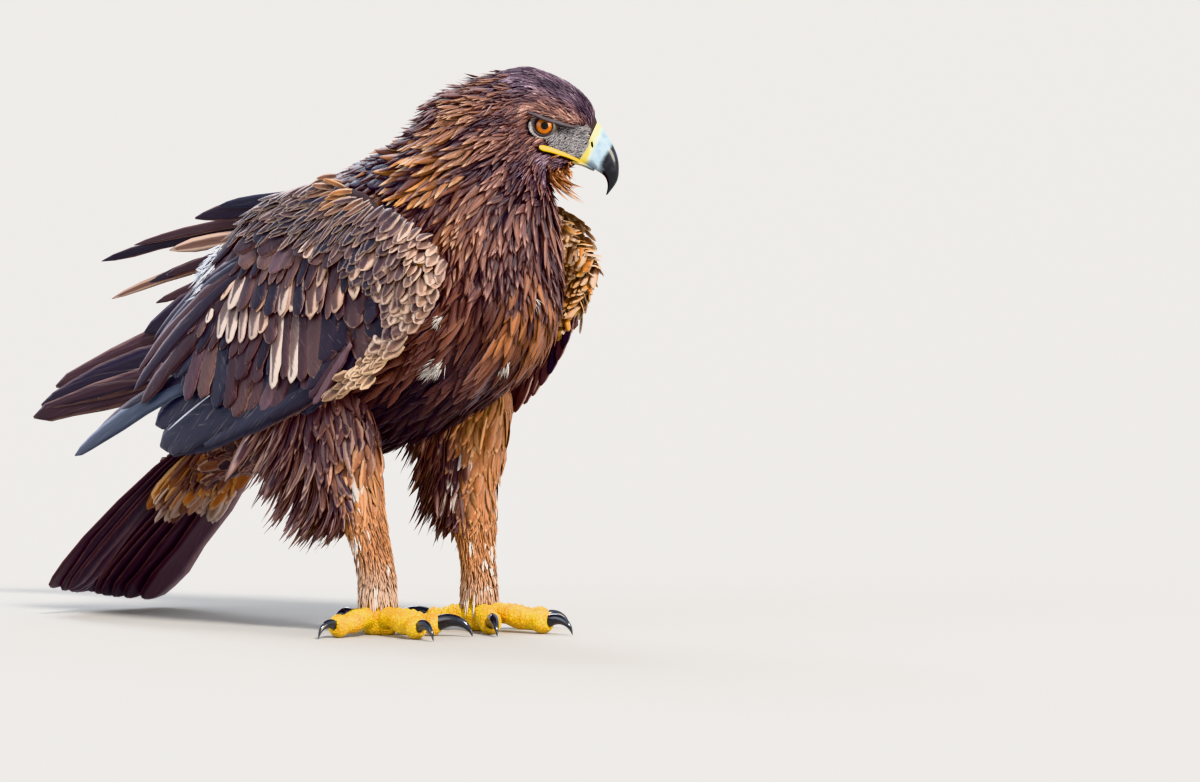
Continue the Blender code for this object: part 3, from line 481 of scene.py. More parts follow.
def feathers(name, lines, normals, width, outline, tint, edge, place, section=THIN, thick=0.7, camber=0.18, tilt=0.0):
    """One mesh of many feathers, each a closed vane along its line, with its colours and maps."""
    many, stations = lines.shape[:2]
    t = np.array([o[0] for o in outline])
    wide = np.array([o[1] for o in outline])
    c = np.array([k[0] for k in section], float)
    h = np.array([k[1] for k in section], float)
    way = unit(np.gradient(lines, axis=1))
    across = unit(np.cross(way, normals))
    face = np.cross(across, way)
    lean = np.broadcast_to(np.asarray(tilt, float), (many,))[:, None, None]
    across, face = across * np.cos(lean) + face * np.sin(lean), face * np.cos(lean) - across * np.sin(lean)
    ragged = 1 + np.random.default_rng(many).normal(0, 0.08, (many, stations))
    half = np.broadcast_to(np.asarray(width, float), (many,))[:, None] * wide[None, :] / 2 * ragged
    deep = thick / 2 * (1 - 0.6 * t)[None, :] * np.ones((many, 1))
    spots = (
        lines[:, :, None]
        + across[:, :, None] * (half[:, :, None] * c)[..., None]
        + face[:, :, None] * (deep[:, :, None] * h - camber * half[:, :, None] * c**2)[..., None]
    )
    around, each = len(section), stations * len(section)
    quads = []
    for i in range(stations - 1):
        for k in range(around):
            j = (k + 1) % around
            quads.append((i * around + k, i * around + j, (i + 1) * around + j, (i + 1) * around + k))
    quads = np.array(quads)
    ends = np.array((range(around - 1, -1, -1), range(each - around, each)))
    base = np.arange(many)[:, None, None] * each
    side_faces, end_faces = (quads[None] + base).reshape(-1, 4), (ends[None] + base).reshape(-1, around)
    corners = np.concatenate([side_faces.ravel(), end_faces.ravel()])
    starts = np.concatenate([np.arange(len(side_faces)) * 4, len(side_faces) * 4 + np.arange(len(end_faces)) * around])
    sizes = np.concatenate([np.full(len(side_faces), 4), np.full(len(end_faces), around)])
    mesh = bpy.data.meshes.new(name)
    mesh.vertices.add(many * each)
    mesh.vertices.foreach_set("co", in_frame(spots).astype(np.float32).ravel())
    mesh.loops.add(len(corners))
    mesh.loops.foreach_set("vertex_index", corners.astype(np.int32))
    mesh.polygons.add(len(starts))
    mesh.polygons.foreach_set("loop_start", starts.astype(np.int32))
    mesh.polygons.foreach_set("loop_total", sizes.astype(np.int32))
    mesh.polygons.foreach_set("use_smooth", np.ones(len(starts), bool))
    mesh.update(calc_edges=True)
    vane = np.stack(np.broadcast_arrays((c[None, :] + 1) / 2, t[:, None]), -1).reshape(1, each, 2)
    vane = np.broadcast_to(vane, (many, each, 2)).reshape(-1, 2)
    spread = (place - place.min(0)) / np.maximum(place.max(0) - place.min(0), 1e-6) * 0.99 + 0.005
    patch = np.repeat(spread, each, 0) + (vane - 0.5) * 0.003
    for label, spots2 in (("OFBake", patch), ("vane", vane)):
        layer = mesh.uv_layers.new(name=label)
        layer.data.foreach_set("uv", spots2[corners].astype(np.float32).ravel())
    for label, value in (("tint", tint), ("edge", edge)):
        rgba = np.ones((many, 4))
        rgba[:, : value.shape[1]] = value
        layer = mesh.attributes.new(label, "FLOAT_COLOR", "POINT")
        layer.data.foreach_set("color", np.repeat(rgba, each, 0).astype(np.float32).ravel())
    made = bpy.data.objects.new(name, mesh)
    bpy.context.scene.collection.objects.link(made)
    return made


def plumage(name, border=0.72, tip=0.86, roughness=0.5, root=0.55, shaft=0.25, barbs=26.0, grain=0.5, core=0.0,
            contrast=0.55, soft=0.16):
    """Feather: dark towards its root, its own colour on the vane, the edge colour round the rim."""
    paint = Paint(name, roughness, Sheen_Weight=0.1, Sheen_Roughness=0.4, Sheen_Tint=(0.75, 0.72, 1.0, 1.0),
                  Specular_IOR_Level=0.4)
    u, v, _ = paint.parts(paint.node("ShaderNodeUVMap", {"uv_map": "vane"}))
    aside = abs(u * 2.0 - 1.0)
    tint, edge = paint.attribute("tint"), paint.attribute("edge")
    strength = paint.attribute("edge", 3)
    red, green, blue = paint.parts(tint)
    barb = v * 3.0 - aside * 0.8
    own = (red * 977.0 + blue * 733.0)
    line = paint.node("ShaderNodeCombineXYZ", {}, (barb * barbs * 0.5, own + u.ramp(0.499, 0.501, 0.0, 7.0), aside * 1.5))
    streak = paint.noise(line, 1.0, 3.0, 0.6)
    wider = strength.ramp(0.9, 1.0, 0.0, 1.0) * v.ramp(0.35, 0.8, 0.05, 0.6)
    rim = aside.most((v - tip) / (1.0 - tip) * 0.9) + (streak - 0.5) * grain + wider + (u - 0.5) * 0.16
    deep = (0.008, 0.005, 0.010)
    vane = paint.mix(v.ramp(0.05, 0.7, root, 0.0), tint, paint.mix(0.85, tint, deep))
    vane = paint.mix(aside.ramp(0.1, 0.8, core, 0.0), vane, paint.mix(0.8, tint, deep))
    colour = paint.mix(rim.ramp(border - soft / 2, border + soft) * strength, vane, edge)
    stem = paint.mix(0.5, tint, deep)
    colour = paint.mix(aside.ramp(0.0, 0.09, shaft, 0.0), colour, stem)
    colour = paint.mix(streak.ramp(0.45, 0.75, 0.0, contrast), colour, paint.mix(0.75, colour, deep))
    colour = paint.mix(streak.ramp(0.25, 0.42, 0.3, 0.0), colour, paint.mix(0.35, colour, (0.95, 0.80, 0.68)))
    return paint.finish(colour, None, streak + (1.0 - aside) * 0.8, 0.0004, 0.35)


def strewn(name, surface, roots, gap, long, width, rise, outline, tint, edge, rng, **more):
    """Feathers over a surface from scattered roots; long, width and rise are per feather."""
    a, b = roots
    stations = [o[0] for o in outline]
    heading = more.pop("heading", 0.0) + rng.normal(0, more.pop("stray", 0.12), len(a))
    lines, normals = walk(surface, a, b, heading, long, stations)
    t = np.array(stations)[None, :]
    sink = more.pop("sink", 1.2)
    depth = more.pop("depth", 0.0)
    lift = -sink - np.asarray(depth).reshape(-1, 1) + (np.asarray(rise).reshape(-1, 1) + sink) * t ** more.pop("bend", 0.8)
    lines = lines + normals * (lift + np.asarray(depth).reshape(-1, 1) * t**0.5)[..., None]
    pull = np.asarray(more.pop("pull", (0, 0, 0)), float).reshape(-1, 1, 3)
    lines = lines + pull * (long[:, None] * t**2)[..., None]
    tilt = rng.normal(0, more.pop("twist", 0.12), len(a))
    return feathers(name, lines, normals, width, outline, tint, edge, np.stack([a, b], 1), tilt=tilt, **more)


def blend(share, one, two):
    share = np.asarray(share)[:, None]
    return np.asarray(one) * (1 - share) + np.asarray(two) * share


def patchy(a, b, cells, draw):
    """Soft random blotches from 0 to 1 over two coordinates, whose sizes are given by cells."""
    u, v = np.asarray(a) / cells[0] + 200, np.asarray(b) / cells[1] + 200
    i, j = np.floor(u).astype(int), np.floor(v).astype(int)
    f, g = u - i, v - j
    f, g = f * f * (3 - 2 * f), g * g * (3 - 2 * g)
    table = draw.random((97, 97))
    near = table[i % 97, j % 97] * (1 - f) + table[(i + 1) % 97, j % 97] * f
    far = table[i % 97, (j + 1) % 97] * (1 - f) + table[(i + 1) % 97, (j + 1) % 97] * f
    return near * (1 - g) + far * g


def bell(x, middle, reach):
    return np.exp(-(((x - middle) / reach) ** 2))


draw = np.random.default_rng(11)
# breast, belly and flanks
def trunk_gap(a, b):
    return np.interp(a, (8, 10, 13, 17, 19), (5.6, 6.2, 7.6, 7.6, 7.0))


def under_half(a, b):
    return (np.cos(b) < 0.4).astype(float)


roots = scattered(body, (8.2, 16.8), (-math.pi, math.pi), trunk_gap, draw, under_half)
s, phi = roots
spot = body(s, phi)
x, y, z = spot.T
n = len(s)
long = np.interp(s, (8.4, 11, 15, 17), (46, 54, 54, 54)) * draw.uniform(0.75, 1.25, n)
width = np.interp(s, (8.4, 11, 15, 17), (7.6, 9.2, 12, 14)) * draw.uniform(0.75, 1.2, n)
lock = np.clip((patchy(s, phi, (1.4, 0.11), draw) - 0.32) * 2.2 + draw.normal(0, 0.12, n), 0, 1)
crop = np.exp(-(((spot - np.array((146, -8, 326))) / np.array((46, 46, 40))) ** 2).sum(1)) * np.clip((z - 246) / 14, 0, 1)
collar = np.clip((z - 372) / 36, 0, 1)
flank = bell(x, 30, 55) * bell(z, 262, 36) * np.clip(-y / 40, 0, 1)
# night is painted shade: below the crop's bulge the belly's feathers and their rims are darkened and dulled, as the
# crop's shadow
night = np.clip((256 - z) / 16, 0, 1) * np.clip((x + 50) / 50, 0, 1)
tint = blend(lock, (0.024, 0.010, 0.019), (0.150, 0.058, 0.052))
tint = blend(np.clip(crop * (0.35 + 1.1 * lock), 0, 1) * 0.9, tint, (0.46, 0.155, 0.042))
tint = blend(collar * (lock > 0.7) * 0.3, tint, (0.40, 0.15, 0.055))
tint = blend(flank * lock * 0.5, tint, (0.26, 0.10, 0.065))
tint = blend(night * 0.85, tint, (0.014, 0.008, 0.014))
light = np.clip(lock * 0.8 + draw.normal(0.1, 0.2, n), 0, 1)
rim = blend(light, (0.12, 0.052, 0.058), (0.48, 0.26, 0.22))
rim = blend(np.clip(crop + collar * 0.2, 0, 1) * 0.8, rim, (0.84, 0.40, 0.15))
rim = blend(night, rim, (0.06, 0.032, 0.045))
edge = np.concatenate([rim, (0.15 + 0.5 * light * (1 - 0.5 * night))[:, None]], 1)
# a few white downy feathers show through where the coat parts
TUFTS = ((78, -62, 264, 9, 170), (94, -75, 304, 5, 40), (154, -8, 325, 5, 12), (122, -16, 260, 5, 26))
tuft_s, tuft_phi, tuft_size = [], [], []
for *at, reach, many in TUFTS:
    nearest = np.argmin(np.linalg.norm(spot - np.array(at), axis=1))
    span = np.linalg.norm(facing(body, s[nearest : nearest + 1], phi[nearest : nearest + 1])[1])
    tuft_s.append(s[nearest] + draw.normal(0, reach / 120, many))
    tuft_phi.append(phi[nearest] + draw.normal(0, reach / span * 0.24, many))
    tuft_size.append(draw.uniform(1.2, 2.6, many) * reach)
rise = draw.uniform(0.5, 3.5, n) + 5.0 * lock
breast = strewn(
    "coat_breast", body, roots, None, long, width, rise, LANCE, tint, edge, draw, depth=6.0, thick=0.6, camber=0.18,
    stray=0.17,
)
dress(breast, plumage("breast_feather", 0.5, 0.8, root=0.7, core=0.3, contrast=0.4, soft=0.35))
tuft_s, tuft_phi, tuft_size = (np.concatenate(v) for v in (tuft_s, tuft_phi, tuft_size))
n = len(tuft_s)
tufts = strewn(
    "coat_down_tufts", body, (tuft_s, tuft_phi), None, tuft_size, draw.uniform(0.5, 1.4, n), draw.uniform(4, 10, n),
    WISP, blend(draw.random(n), (0.58, 0.50, 0.45), (0.94, 0.90, 0.85)), np.zeros((n, 4)), draw, depth=6.5,
    stray=0.22, thick=0.3, twist=0.6,
)
dress(tufts, plumage("down", root=0.15, shaft=0.0, roughness=0.7, contrast=0.2))

# The mantle and rump
# Broad dark feathers over the back from the neck to the tail, glossy, with thin paler rims.
draw = np.random.default_rng(12)


def mantle_gap(a, b):
    return np.interp(a, (9, 12, 15, 19), (8.0, 11.0, 11.0, 8.0))


def upper_half(a, b):
    return (np.cos(b) > 0.2).astype(float)


roots = scattered(body, (9.0, 17.4), (-math.pi, math.pi), mantle_gap, draw, upper_half)
s, phi = roots
n = len(s)
long = np.interp(s, (9, 12, 16, 19), (34, 50, 52, 44)) * draw.uniform(0.85, 1.15, n)
width = np.interp(s, (9, 12, 16, 19), (15, 24, 23, 17)) * draw.uniform(0.9, 1.1, n)
# painted sheen: part of the back's feathers are tinted dark blue, as the sky's blue sheen on their dark purple-brown
blue_sheen, roll = draw.random(n), draw.random(n)
tint = blend(blue_sheen, (0.040, 0.020, 0.030), (0.030, 0.028, 0.055))
tint = blend((roll > 0.72) * 0.6, tint, (0.15, 0.075, 0.065))
rim = blend(roll, (0.12, 0.075, 0.095), (0.42, 0.26, 0.20))
edge = np.concatenate([rim, np.full((n, 1), 0.75)], 1)
mantle = strewn(
    "coat_back", body, roots, None, long, width, draw.uniform(1.5, 5.0, n), OVAL, tint, edge, draw, depth=6.0,
    section=BROAD, thick=0.8, camber=0.16,
)
dress(mantle, plumage("mantle_feather", 0.84, 0.94, 0.4, 0.5, shaft=0.3, grain=0.25))

# The hackles
# Narrow pointed feathers of the nape and neck, dark at the base and golden at the point, loose
# and ruffled on the hind neck, darker and closer on the throat.
draw = np.random.default_rng(13)


def hackle_gap(a, b):
    return np.interp(a, (4.5, 6, 8, 10.6), (2.5, 3.4, 5.4, 7.0))


roots = scattered(body, (4.6, 10.4), (-math.pi, math.pi), hackle_gap, draw)
s, phi = roots
n = len(s)
spot = body(s, phi)
long = np.interp(s, (4.6, 6, 8, 10.4), (16, 27, 42, 46)) * draw.uniform(0.7, 1.25, n)
width = np.interp(s, (4.6, 6, 8, 10.4), (2.9, 4.5, 7.6, 9.0)) * draw.uniform(0.75, 1.2, n)
nape = np.clip(0.45 + 1.2 * np.cos(phi), 0, 1)
near = np.clip(-np.sin(phi), 0, 1)
lock = np.clip((patchy(s, phi, (1.0, 0.13), draw) - 0.25) * 1.8 + draw.normal(0, 0.16, n), 0, 1)
light = np.clip(lock * 0.7 + draw.normal(0.15, 0.2, n), 0, 1)
shoulder = np.exp(-(((spot - np.array((64, -62, 430))) / np.array((50, 40, 34))) ** 2).sum(1))
gold = np.clip(nape * 1.0 - 0.1, 0, 1) * np.interp(s, (4.6, 5.4, 8, 9.4, 10.2), (0.12, 0.3, 0.8, 0.6, 0.2))
gold = np.clip(gold * 0.8 + shoulder, 0, 1)
shown = np.clip((lock - 0.48) * 4, 0, 1) * gold
throat = np.clip(-np.cos(phi) + 0.2, 0, 1)
tint = blend(lock, (0.026, 0.011, 0.020), (0.155, 0.060, 0.054))
tint = blend(shown * 0.85, tint, (0.56, 0.20, 0.050))
tint = blend(throat * 0.75 * (lock < 0.8), tint, (0.026, 0.011, 0.018))
rim = blend(light, (0.14, 0.060, 0.060), (0.48, 0.26, 0.21))
rim = blend(shown, rim, (0.88, 0.40, 0.13))
rim = blend(shown * (light > 0.7) * 0.8, rim, (0.97, 0.74, 0.48))
edge = np.concatenate([rim, (0.3 + 0.65 * np.maximum(shown, light * 0.8))[:, None]], 1)
width = width * (1 + 0.5 * shoulder)
rise = draw.uniform(0.5, 3.5, n) + 3.5 * lock + 4 * shoulder * lock + nape * near * draw.uniform(0, 12, n) * bell(s, 7.6, 1.8)
neck = strewn(
    "coat_neck", body, roots, None, long, width, rise, LANCE, tint, edge, draw,
    depth=np.interp(s, (4.6, 6, 8), (2.5, 4, 6)), stray=0.2, thick=0.6, camber=0.3, bend=1.0,
)
dress(neck, plumage("hackle", 0.45, 0.62, root=0.9, shaft=0.2, core=0.4, contrast=0.45, soft=0.3))

# The ruff
# Behind the head the wind parts the hackles: stiff dusky points with pale down between them.
draw = np.random.default_rng(17)
n = 110
s = draw.uniform(5.3, 8.2, n)
phi = draw.normal(-0.12, 0.3, n)
long, width = draw.uniform(18, 30, n), draw.uniform(3.0, 5.5, n)
tint = blend(draw.random(n), (0.055, 0.026, 0.040), (0.24, 0.11, 0.10))
edge = np.concatenate([blend(draw.random(n), (0.30, 0.18, 0.17), (0.66, 0.50, 0.44)), np.full((n, 1), 0.6)], 1)
ruff = strewn(
    "coat_ruff", body, (s, phi), None, long, width, draw.uniform(4, 13, n), LANCE, tint, edge, draw, depth=3.0,
    stray=0.3, thick=0.5, camber=0.3, bend=1.1, twist=0.5,
)
dress(ruff, plumage("ruff_feather", 0.5, 0.7, root=0.7, core=0.3))

# The head's feathers
# Short narrow feathers lying close back from the bill: dusky on the crown, warmer behind the
# eye and on the cheek. They leave the eye, the lores and the corner of the mouth bare.
draw = np.random.default_rng(14)


BROW = (
    (42, 496.6, 1.2), (49, 494.2, 2.5), (57, 491.2, 3.3), (66, 488.0, 3.4), (75, 485.2, 2.9), (84, 483.0, 2.0),
    (91, 483.2, 0.9),
)


def bare(along, height):
    """1 on the feathered face and 0 over the eye, its skin, the lores and the mouth's corner."""
    line = np.interp(along, [b[0] for b in BROW], [b[1] for b in BROW])
    under = height < line + 0.4
    eye = under & (np.hypot((along - 55.6) / 11.6, (height - 483.6) / 9.8) < 1.0)
    lores = (along > 62) & (along < 99) & under & (height > 464 - (along - 54) * 0.33)
    gape = (along > 52.5) & (height < 466.0 - (along - 54) * 0.33) & (height > 459.5 - (along - 54) * 0.36)
    return (~eye & ~lores & ~gape).astype(float)


def face_keep(a, b):
    along, height, aside = head_place(body(a, b))
    return np.where(np.abs(aside) > 7, bare(along, height), 1.0)


def head_gap(a, b):
    return np.interp(a, (0, 2, 4, 6), (1.45, 1.65, 1.9, 2.5))


roots = scattered(body, (0.45, 6.0), (-math.pi, math.pi), head_gap, draw, face_keep)
s, phi = roots
n = len(s)
along, height, aside = head_place(body(s, phi))
long = np.interp(s, (0.4, 1.5, 3, 5, 6), (5.0, 7.5, 11, 16, 20)) * draw.uniform(0.75, 1.25, n)
width = np.interp(s, (0.4, 1.5, 3, 5, 6), (1.1, 1.5, 1.8, 2.4, 3.1)) * draw.uniform(0.75, 1.2, n)
crown = np.clip((np.cos(phi) - 0.3) / 0.35, 0, 1)
cheek = np.clip((466 - height) / 10, 0, 1) * np.clip((along - 5) / 20, 0, 1)
nape = np.clip((12 - along) / 25, 0, 1) * (1 - crown)
behind = bell(along, 34, 22) * bell(height, 484, 16)
lock = np.clip((patchy(s, phi, (0.45, 0.09), draw) - 0.25) * 1.8 + draw.normal(0, 0.2, n), 0, 1)
light = np.clip(lock * 0.7 + draw.normal(0.15, 0.22, n), 0, 1)
brow_light = np.clip((np.cos(phi) + 0.1) / 0.3, 0, 1) * (1 - crown) * np.clip(along / 30, 0, 1)
tint = blend(lock, (0.085, 0.030, 0.030), (0.42, 0.175, 0.125))
tint = blend(behind * 0.5, tint, (0.38, 0.15, 0.095))
# The crown and cheek are tinted purple-blue with pale lilac rims: partly their dark feathers and pale rims, partly
# painted blue sheen
tint = blend(np.clip(crown + cheek * 0.9, 0, 1) * 0.85, tint, blend(lock, (0.030, 0.020, 0.042), (0.150, 0.095, 0.160)))
tint = blend(nape * (lock > 0.4) * 0.7, tint, (0.56, 0.22, 0.085))
rim = blend(light, (0.20, 0.09, 0.08), (0.74, 0.46, 0.37))
rim = blend(np.clip(crown + cheek, 0, 1) * 0.75, rim, blend(light, (0.15, 0.10, 0.17), (0.56, 0.45, 0.60)))
rim = blend(brow_light * 0.6, rim, (0.82, 0.56, 0.46))
rim = blend(nape * 0.8 * (light > 0.3), rim, (0.94, 0.58, 0.32))
edge = np.concatenate([rim, (0.2 + 0.75 * light)[:, None]], 1)
head = strewn(
    "coat_head", body, roots, None, long, width, draw.uniform(0.2, 1.2, n), LANCE, tint, edge, draw,
    depth=np.interp(s, (0, 3, 6), (0.3, 1.4, 3)), stray=0.13, thick=0.35, camber=0.3, sink=0.4, twist=0.15,
)
dress(head, plumage("head_feather", 0.5, 0.75, root=0.65, shaft=0.15, core=0.25, contrast=0.35))

# The chin
# Loose rufous feathers stand forward under the bill, parted by the wind.
draw = np.random.default_rng(18)
n = 130
s, phi = draw.uniform(0.9, 4.2, n), math.pi + draw.normal(0, 0.26, n)
long = draw.uniform(12, 22, n) + 14 * (draw.random(n) < 0.3)
tint = blend(draw.random(n), (0.09, 0.034, 0.030), (0.36, 0.13, 0.055))
edge = np.concatenate([blend(draw.random(n), (0.50, 0.22, 0.12), (0.92, 0.46, 0.20)), np.full((n, 1), 0.9)], 1)
chin = strewn(
    "coat_chin", body, (s, phi), None, long, draw.uniform(2.0, 4.2, n), draw.uniform(2, 9, n), LANCE, tint, edge, draw,
    stray=0.45, thick=0.4, camber=0.3, bend=1.1, pull=(0.55, 0.48, -0.22), twist=0.4,
)
dress(chin, plumage("chin_feather", 0.45, 0.6, root=0.7))

# The eyes
# Glossy amber balls with a dark rim and a round pupil, set deep under the brow.
EYE_AT, EYE_ASIDE, EYE_RADIUS = (57.2, 483.3), 26.5, 11.5
GRID_S, GRID_PHI = (g.ravel() for g in np.meshgrid(np.linspace(0, 7.2, 240), np.linspace(0.05, 3.09, 140)))
HEAD_GRID = np.stack(head_place(body(GRID_S, GRID_PHI)), 1)


def head_aside(along, height):
    """How far aside the feathered head stands at places seen from its side."""
    gap = (HEAD_GRID[:, 0] - along) ** 2 + (HEAD_GRID[:, 1] - height) ** 2
    near = np.argsort(gap)[:4]
    share = 1 / (gap[near] + 0.05)
    return float((HEAD_GRID[near, 2] * share).sum() / share.sum())


def on_head(along, height, aside):
    return Vector(turned(along, height, HEAD_YAW, aside))


origin = Vector(in_frame(turned(0, 0, HEAD_YAW)))
AHEAD_WAY = (math.cos(HEAD_YAW) * 1000, math.sin(HEAD_YAW) * 1000, 0)
ASIDE_WAY = (-math.sin(HEAD_YAW) * 1000, math.cos(HEAD_YAW) * 1000, 0)


def head_axes(paint):
    """Sockets for how far along, high and aside a point is on the head, in millimetres."""
    here = paint.node("ShaderNodeVectorMath", {"operation": "SUBTRACT"}, (paint.place(), origin))
    ways = (AHEAD_WAY, (0, 0, 1000), ASIDE_WAY)
    return [paint.node("ShaderNodeVectorMath", {"operation": "DOT_PRODUCT"}, (here, w), 1) for w in ways]


for word, sign in (("right", -1), ("left", 1)):
    ball = bmesh.new()
    bmesh.ops.create_uvsphere(ball, u_segments=48, v_segments=32, radius=EYE_RADIUS)
    centre = on_head(*EYE_AT, sign * EYE_ASIDE)
    bmesh.ops.translate(ball, verts=ball.verts, vec=centre)
    eye = joined(f"eyeball_{word}", ball)
    gaze = (on_head(3.2, 1.4, sign * 30) - on_head(0, 0, 0)).normalized()
    one = gaze.cross(Vector((0, 0, 1))).normalized()
    two = one.cross(gaze)
    paint = Paint(f"eye_{word}", 0.25, Coat_Weight=1.0, Coat_Roughness=0.02, Coat_IOR=1.38, Specular_IOR_Level=0.2)
    here = paint.node("ShaderNodeVectorMath", {"operation": "SUBTRACT"}, (paint.place(), Vector(in_frame(centre))))
    dots = [paint.node("ShaderNodeVectorMath", {"operation": "DOT_PRODUCT"}, (here, tuple(w * 1000)), 1) for w in (gaze, one, two)]
    out, x, y = dots
    ring = (x * x + y * y) ** 0.5
    spoke = paint.node("ShaderNodeCombineXYZ", {}, (x / (ring + 0.01) * 5.0, y / (ring + 0.01) * 5.0, ring * 0.25))
    ray = paint.noise(spoke, 2.2, 3.0, 0.6)
    amber = paint.mix(ray.ramp(0.3, 0.7), (0.26, 0.060, 0.004), (0.52, 0.150, 0.008))
    amber = paint.mix(ring.ramp(3.6, 5.0, 0.55, 0.0), amber, (0.12, 0.03, 0.006))
    amber = paint.mix(ring.ramp(6.4, 8.4, 0.0, 1.0), amber, (0.022, 0.010, 0.008))
    colour = paint.mix(ring.ramp(3.35, 3.75), (0.002, 0.002, 0.002), amber)
    colour = paint.mix(out.ramp(-1.0, 3.0), (0.02, 0.012, 0.01), colour)
    dress(eye, paint.finish(colour), (f"eye_{word}",))

    # bare skin round the eye: the lid's rolled rim, then wrinkled skin out to the feathers
    shell = bmesh.new()
    loops = []
    for r, puff in ((8.5, -0.5), (8.7, 0.5), (9.3, 1.1), (10.0, 0.9), (10.7, 0.6), (11.6, 0.4), (12.8, 0.0), (14.2, -1.2)):
        loop = bmesh.ops.create_circle(shell, segments=56, radius=1)["verts"]
        for v in loop:
            a = math.atan2(v.co.y, v.co.x)
            stretch = 1.0 + 0.12 * max(math.cos(a), 0) ** 6 * (r < 12)
            along, height = EYE_AT[0] + r * stretch * math.cos(a), EYE_AT[1] + r * math.sin(a) * 0.96
            ball_out = EYE_ASIDE + math.sqrt(max(EYE_RADIUS**2 - r * r, 0))
            above, below = max(math.sin(a), 0), max(-math.sin(a), 0)
            height -= (above * 0.6 - below * 0.42) * max(r - 9.6, 0)
            share = min(max((r - 8.7) / 4.0, 0), 1)
            aside = ball_out * (1 - share) + head_aside(along, height) * share + puff
            v.co = on_head(along, height, sign * aside)
        loops.append(loop)
    for here_loop, there in zip(loops, loops[1:]):
        near = {e for v in here_loop for e in v.link_edges if e.other_vert(v) in here_loop}
        far = {e for v in there for e in v.link_edges if e.other_vert(v) in there}
        bmesh.ops.bridge_loops(shell, edges=list(near | far))
    bmesh.ops.solidify(shell, geom=shell.faces[:], thickness=0.6)
    lid = joined(f"eyelids_{word}", shell)
    paint = Paint(f"lid_skin_{word}", 0.6)
    where = paint.place()
    fold = paint.noise(where, 700.0, 3.0, 0.6)
    tone = paint.mix(fold.ramp(0.35, 0.65), (0.07, 0.06, 0.07), (0.38, 0.35, 0.34))
    along, height, aside = head_axes(paint)
    rim_at = ((along - EYE_AT[0]) ** 2.0 + (height - EYE_AT[1]) ** 2.0) ** 0.5
    tone = paint.mix(rim_at.ramp(10.4, 9.3), tone, (0.03, 0.02, 0.025))
    # painted shade: the upper arc of the lid skin is darkened as the brow's shadow line over the eye
    tone = paint.mix((height + along * 0.35).ramp(507.5, 510.5), tone, (0.025, 0.018, 0.024))
    tone = paint.mix((along).ramp(64.5, 68.0, 0.0, 0.8), tone, (0.12, 0.105, 0.085))
    dress(lid, paint.finish(tone, None, fold, 0.0006, 0.6))

# The brow
# A bony shelf over each eye, from behind it forward to the lores: dark bare skin on its rim,
# which shades the eye and gives the stern look.
for word, sign in (("right", -1), ("left", 1)):
    shelf = bmesh.new()
    rows = []
    for k in range(25):
        along, height, r = through(np.array(BROW), 6 * k / 24)
        centre = on_head(along, height, sign * (head_aside(along, height) + 0.2 + 2.6 * math.sin(math.pi * k / 24) ** 0.8))
        outward = on_head(0, 0, sign) - on_head(0, 0, 0)
        rows.append((centre, outward * (r * 0.95), Vector((0, 0, r * 0.75))))
    loft(shelf, rows, 16)
    brow = joined(f"brow_{word}", shelf)
    paint = Paint(f"brow_skin_{word}", 0.55)
    grain = paint.noise(paint.place(), 900.0, 3.0)
    dress(brow, paint.finish(paint.mix(grain, (0.020, 0.015, 0.020), (0.10, 0.078, 0.088)), None, grain, 0.0005, 0.5))

# The lores
# Fine grey bristles like fur between the eye and the bill, over pale skin.
draw = np.random.default_rng(15)


def lores_keep(a, b):
    along, height, aside = head_place(body(a, b))
    under_brow = height < np.interp(along, [b[0] for b in BROW], [b[1] for b in BROW]) - 1
    over_gape = height > 463.0 - (along - 54) * 0.33
    ring = np.hypot((along - 57.2) / 12.0, (height - 483.3) / 10.0) > 0.97
    behind = (along > 59 + np.clip(470 - height, 0, 6) * 0.4) & (along < 99)
    return ((np.abs(aside) > 7) & under_brow & over_gape & ring & behind).astype(float)


roots = scattered(body, (0.0, 4.2), (-math.pi, math.pi), lambda a, b: 0 * a + 0.85, draw, lores_keep)
s, phi = roots
n = len(s)
pale = draw.uniform(0, 1, n)
tint = blend(pale, (0.20, 0.18, 0.20), (0.80, 0.78, 0.78))
edge = np.zeros((n, 4))
lores = strewn("lores", body, roots, None, draw.uniform(2.5, 5.0, n), draw.uniform(0.35, 0.6, n), draw.uniform(0.5, 1.8, n), WISP, tint, edge, draw, heading=np.where(np.sin(phi) > 0, 1, -1) * 2.2, stray=0.5, thick=0.3, section=HAIR, sink=0.3, twist=0.3)
dress(lores, plumage("lores_bristle", root=0.5, shaft=0.0, roughness=0.7))

# The bill
# The upper half is one sheath of horn over the bone: a soft yellow cere with the nostril slits
# at its base, pale blue-grey beyond it and black at the hook. The lower half closes inside it.
BILL_RINGS = np.array((
    (108.3, 486.4, 89.5, 447.0, 13.6), (110.8, 482.9, 92.3, 446.6, 12.6), (113.4, 479.6, 95.3, 446.2, 11.4),
    (115.6, 476.2, 98.6, 445.4, 10.5), (122, 466, 107, 440.4, 9.2), (127, 454, 114, 435.6, 7.4),
    (128.5, 442, 117, 430, 5.2), (126.5, 430, 117.5, 424, 3.0), (118, 418, 116, 417, 0.7),
))
LOWER_RINGS = np.array((
    (84, 452.5, 82, 447, 10.3), (93, 449.8, 92, 444.8, 9.4), (99, 447.2, 98, 442.6, 7.6),
    (103, 444.8, 102, 440.6, 5.0), (105.5, 442.6, 105, 439.8, 2.2),
))


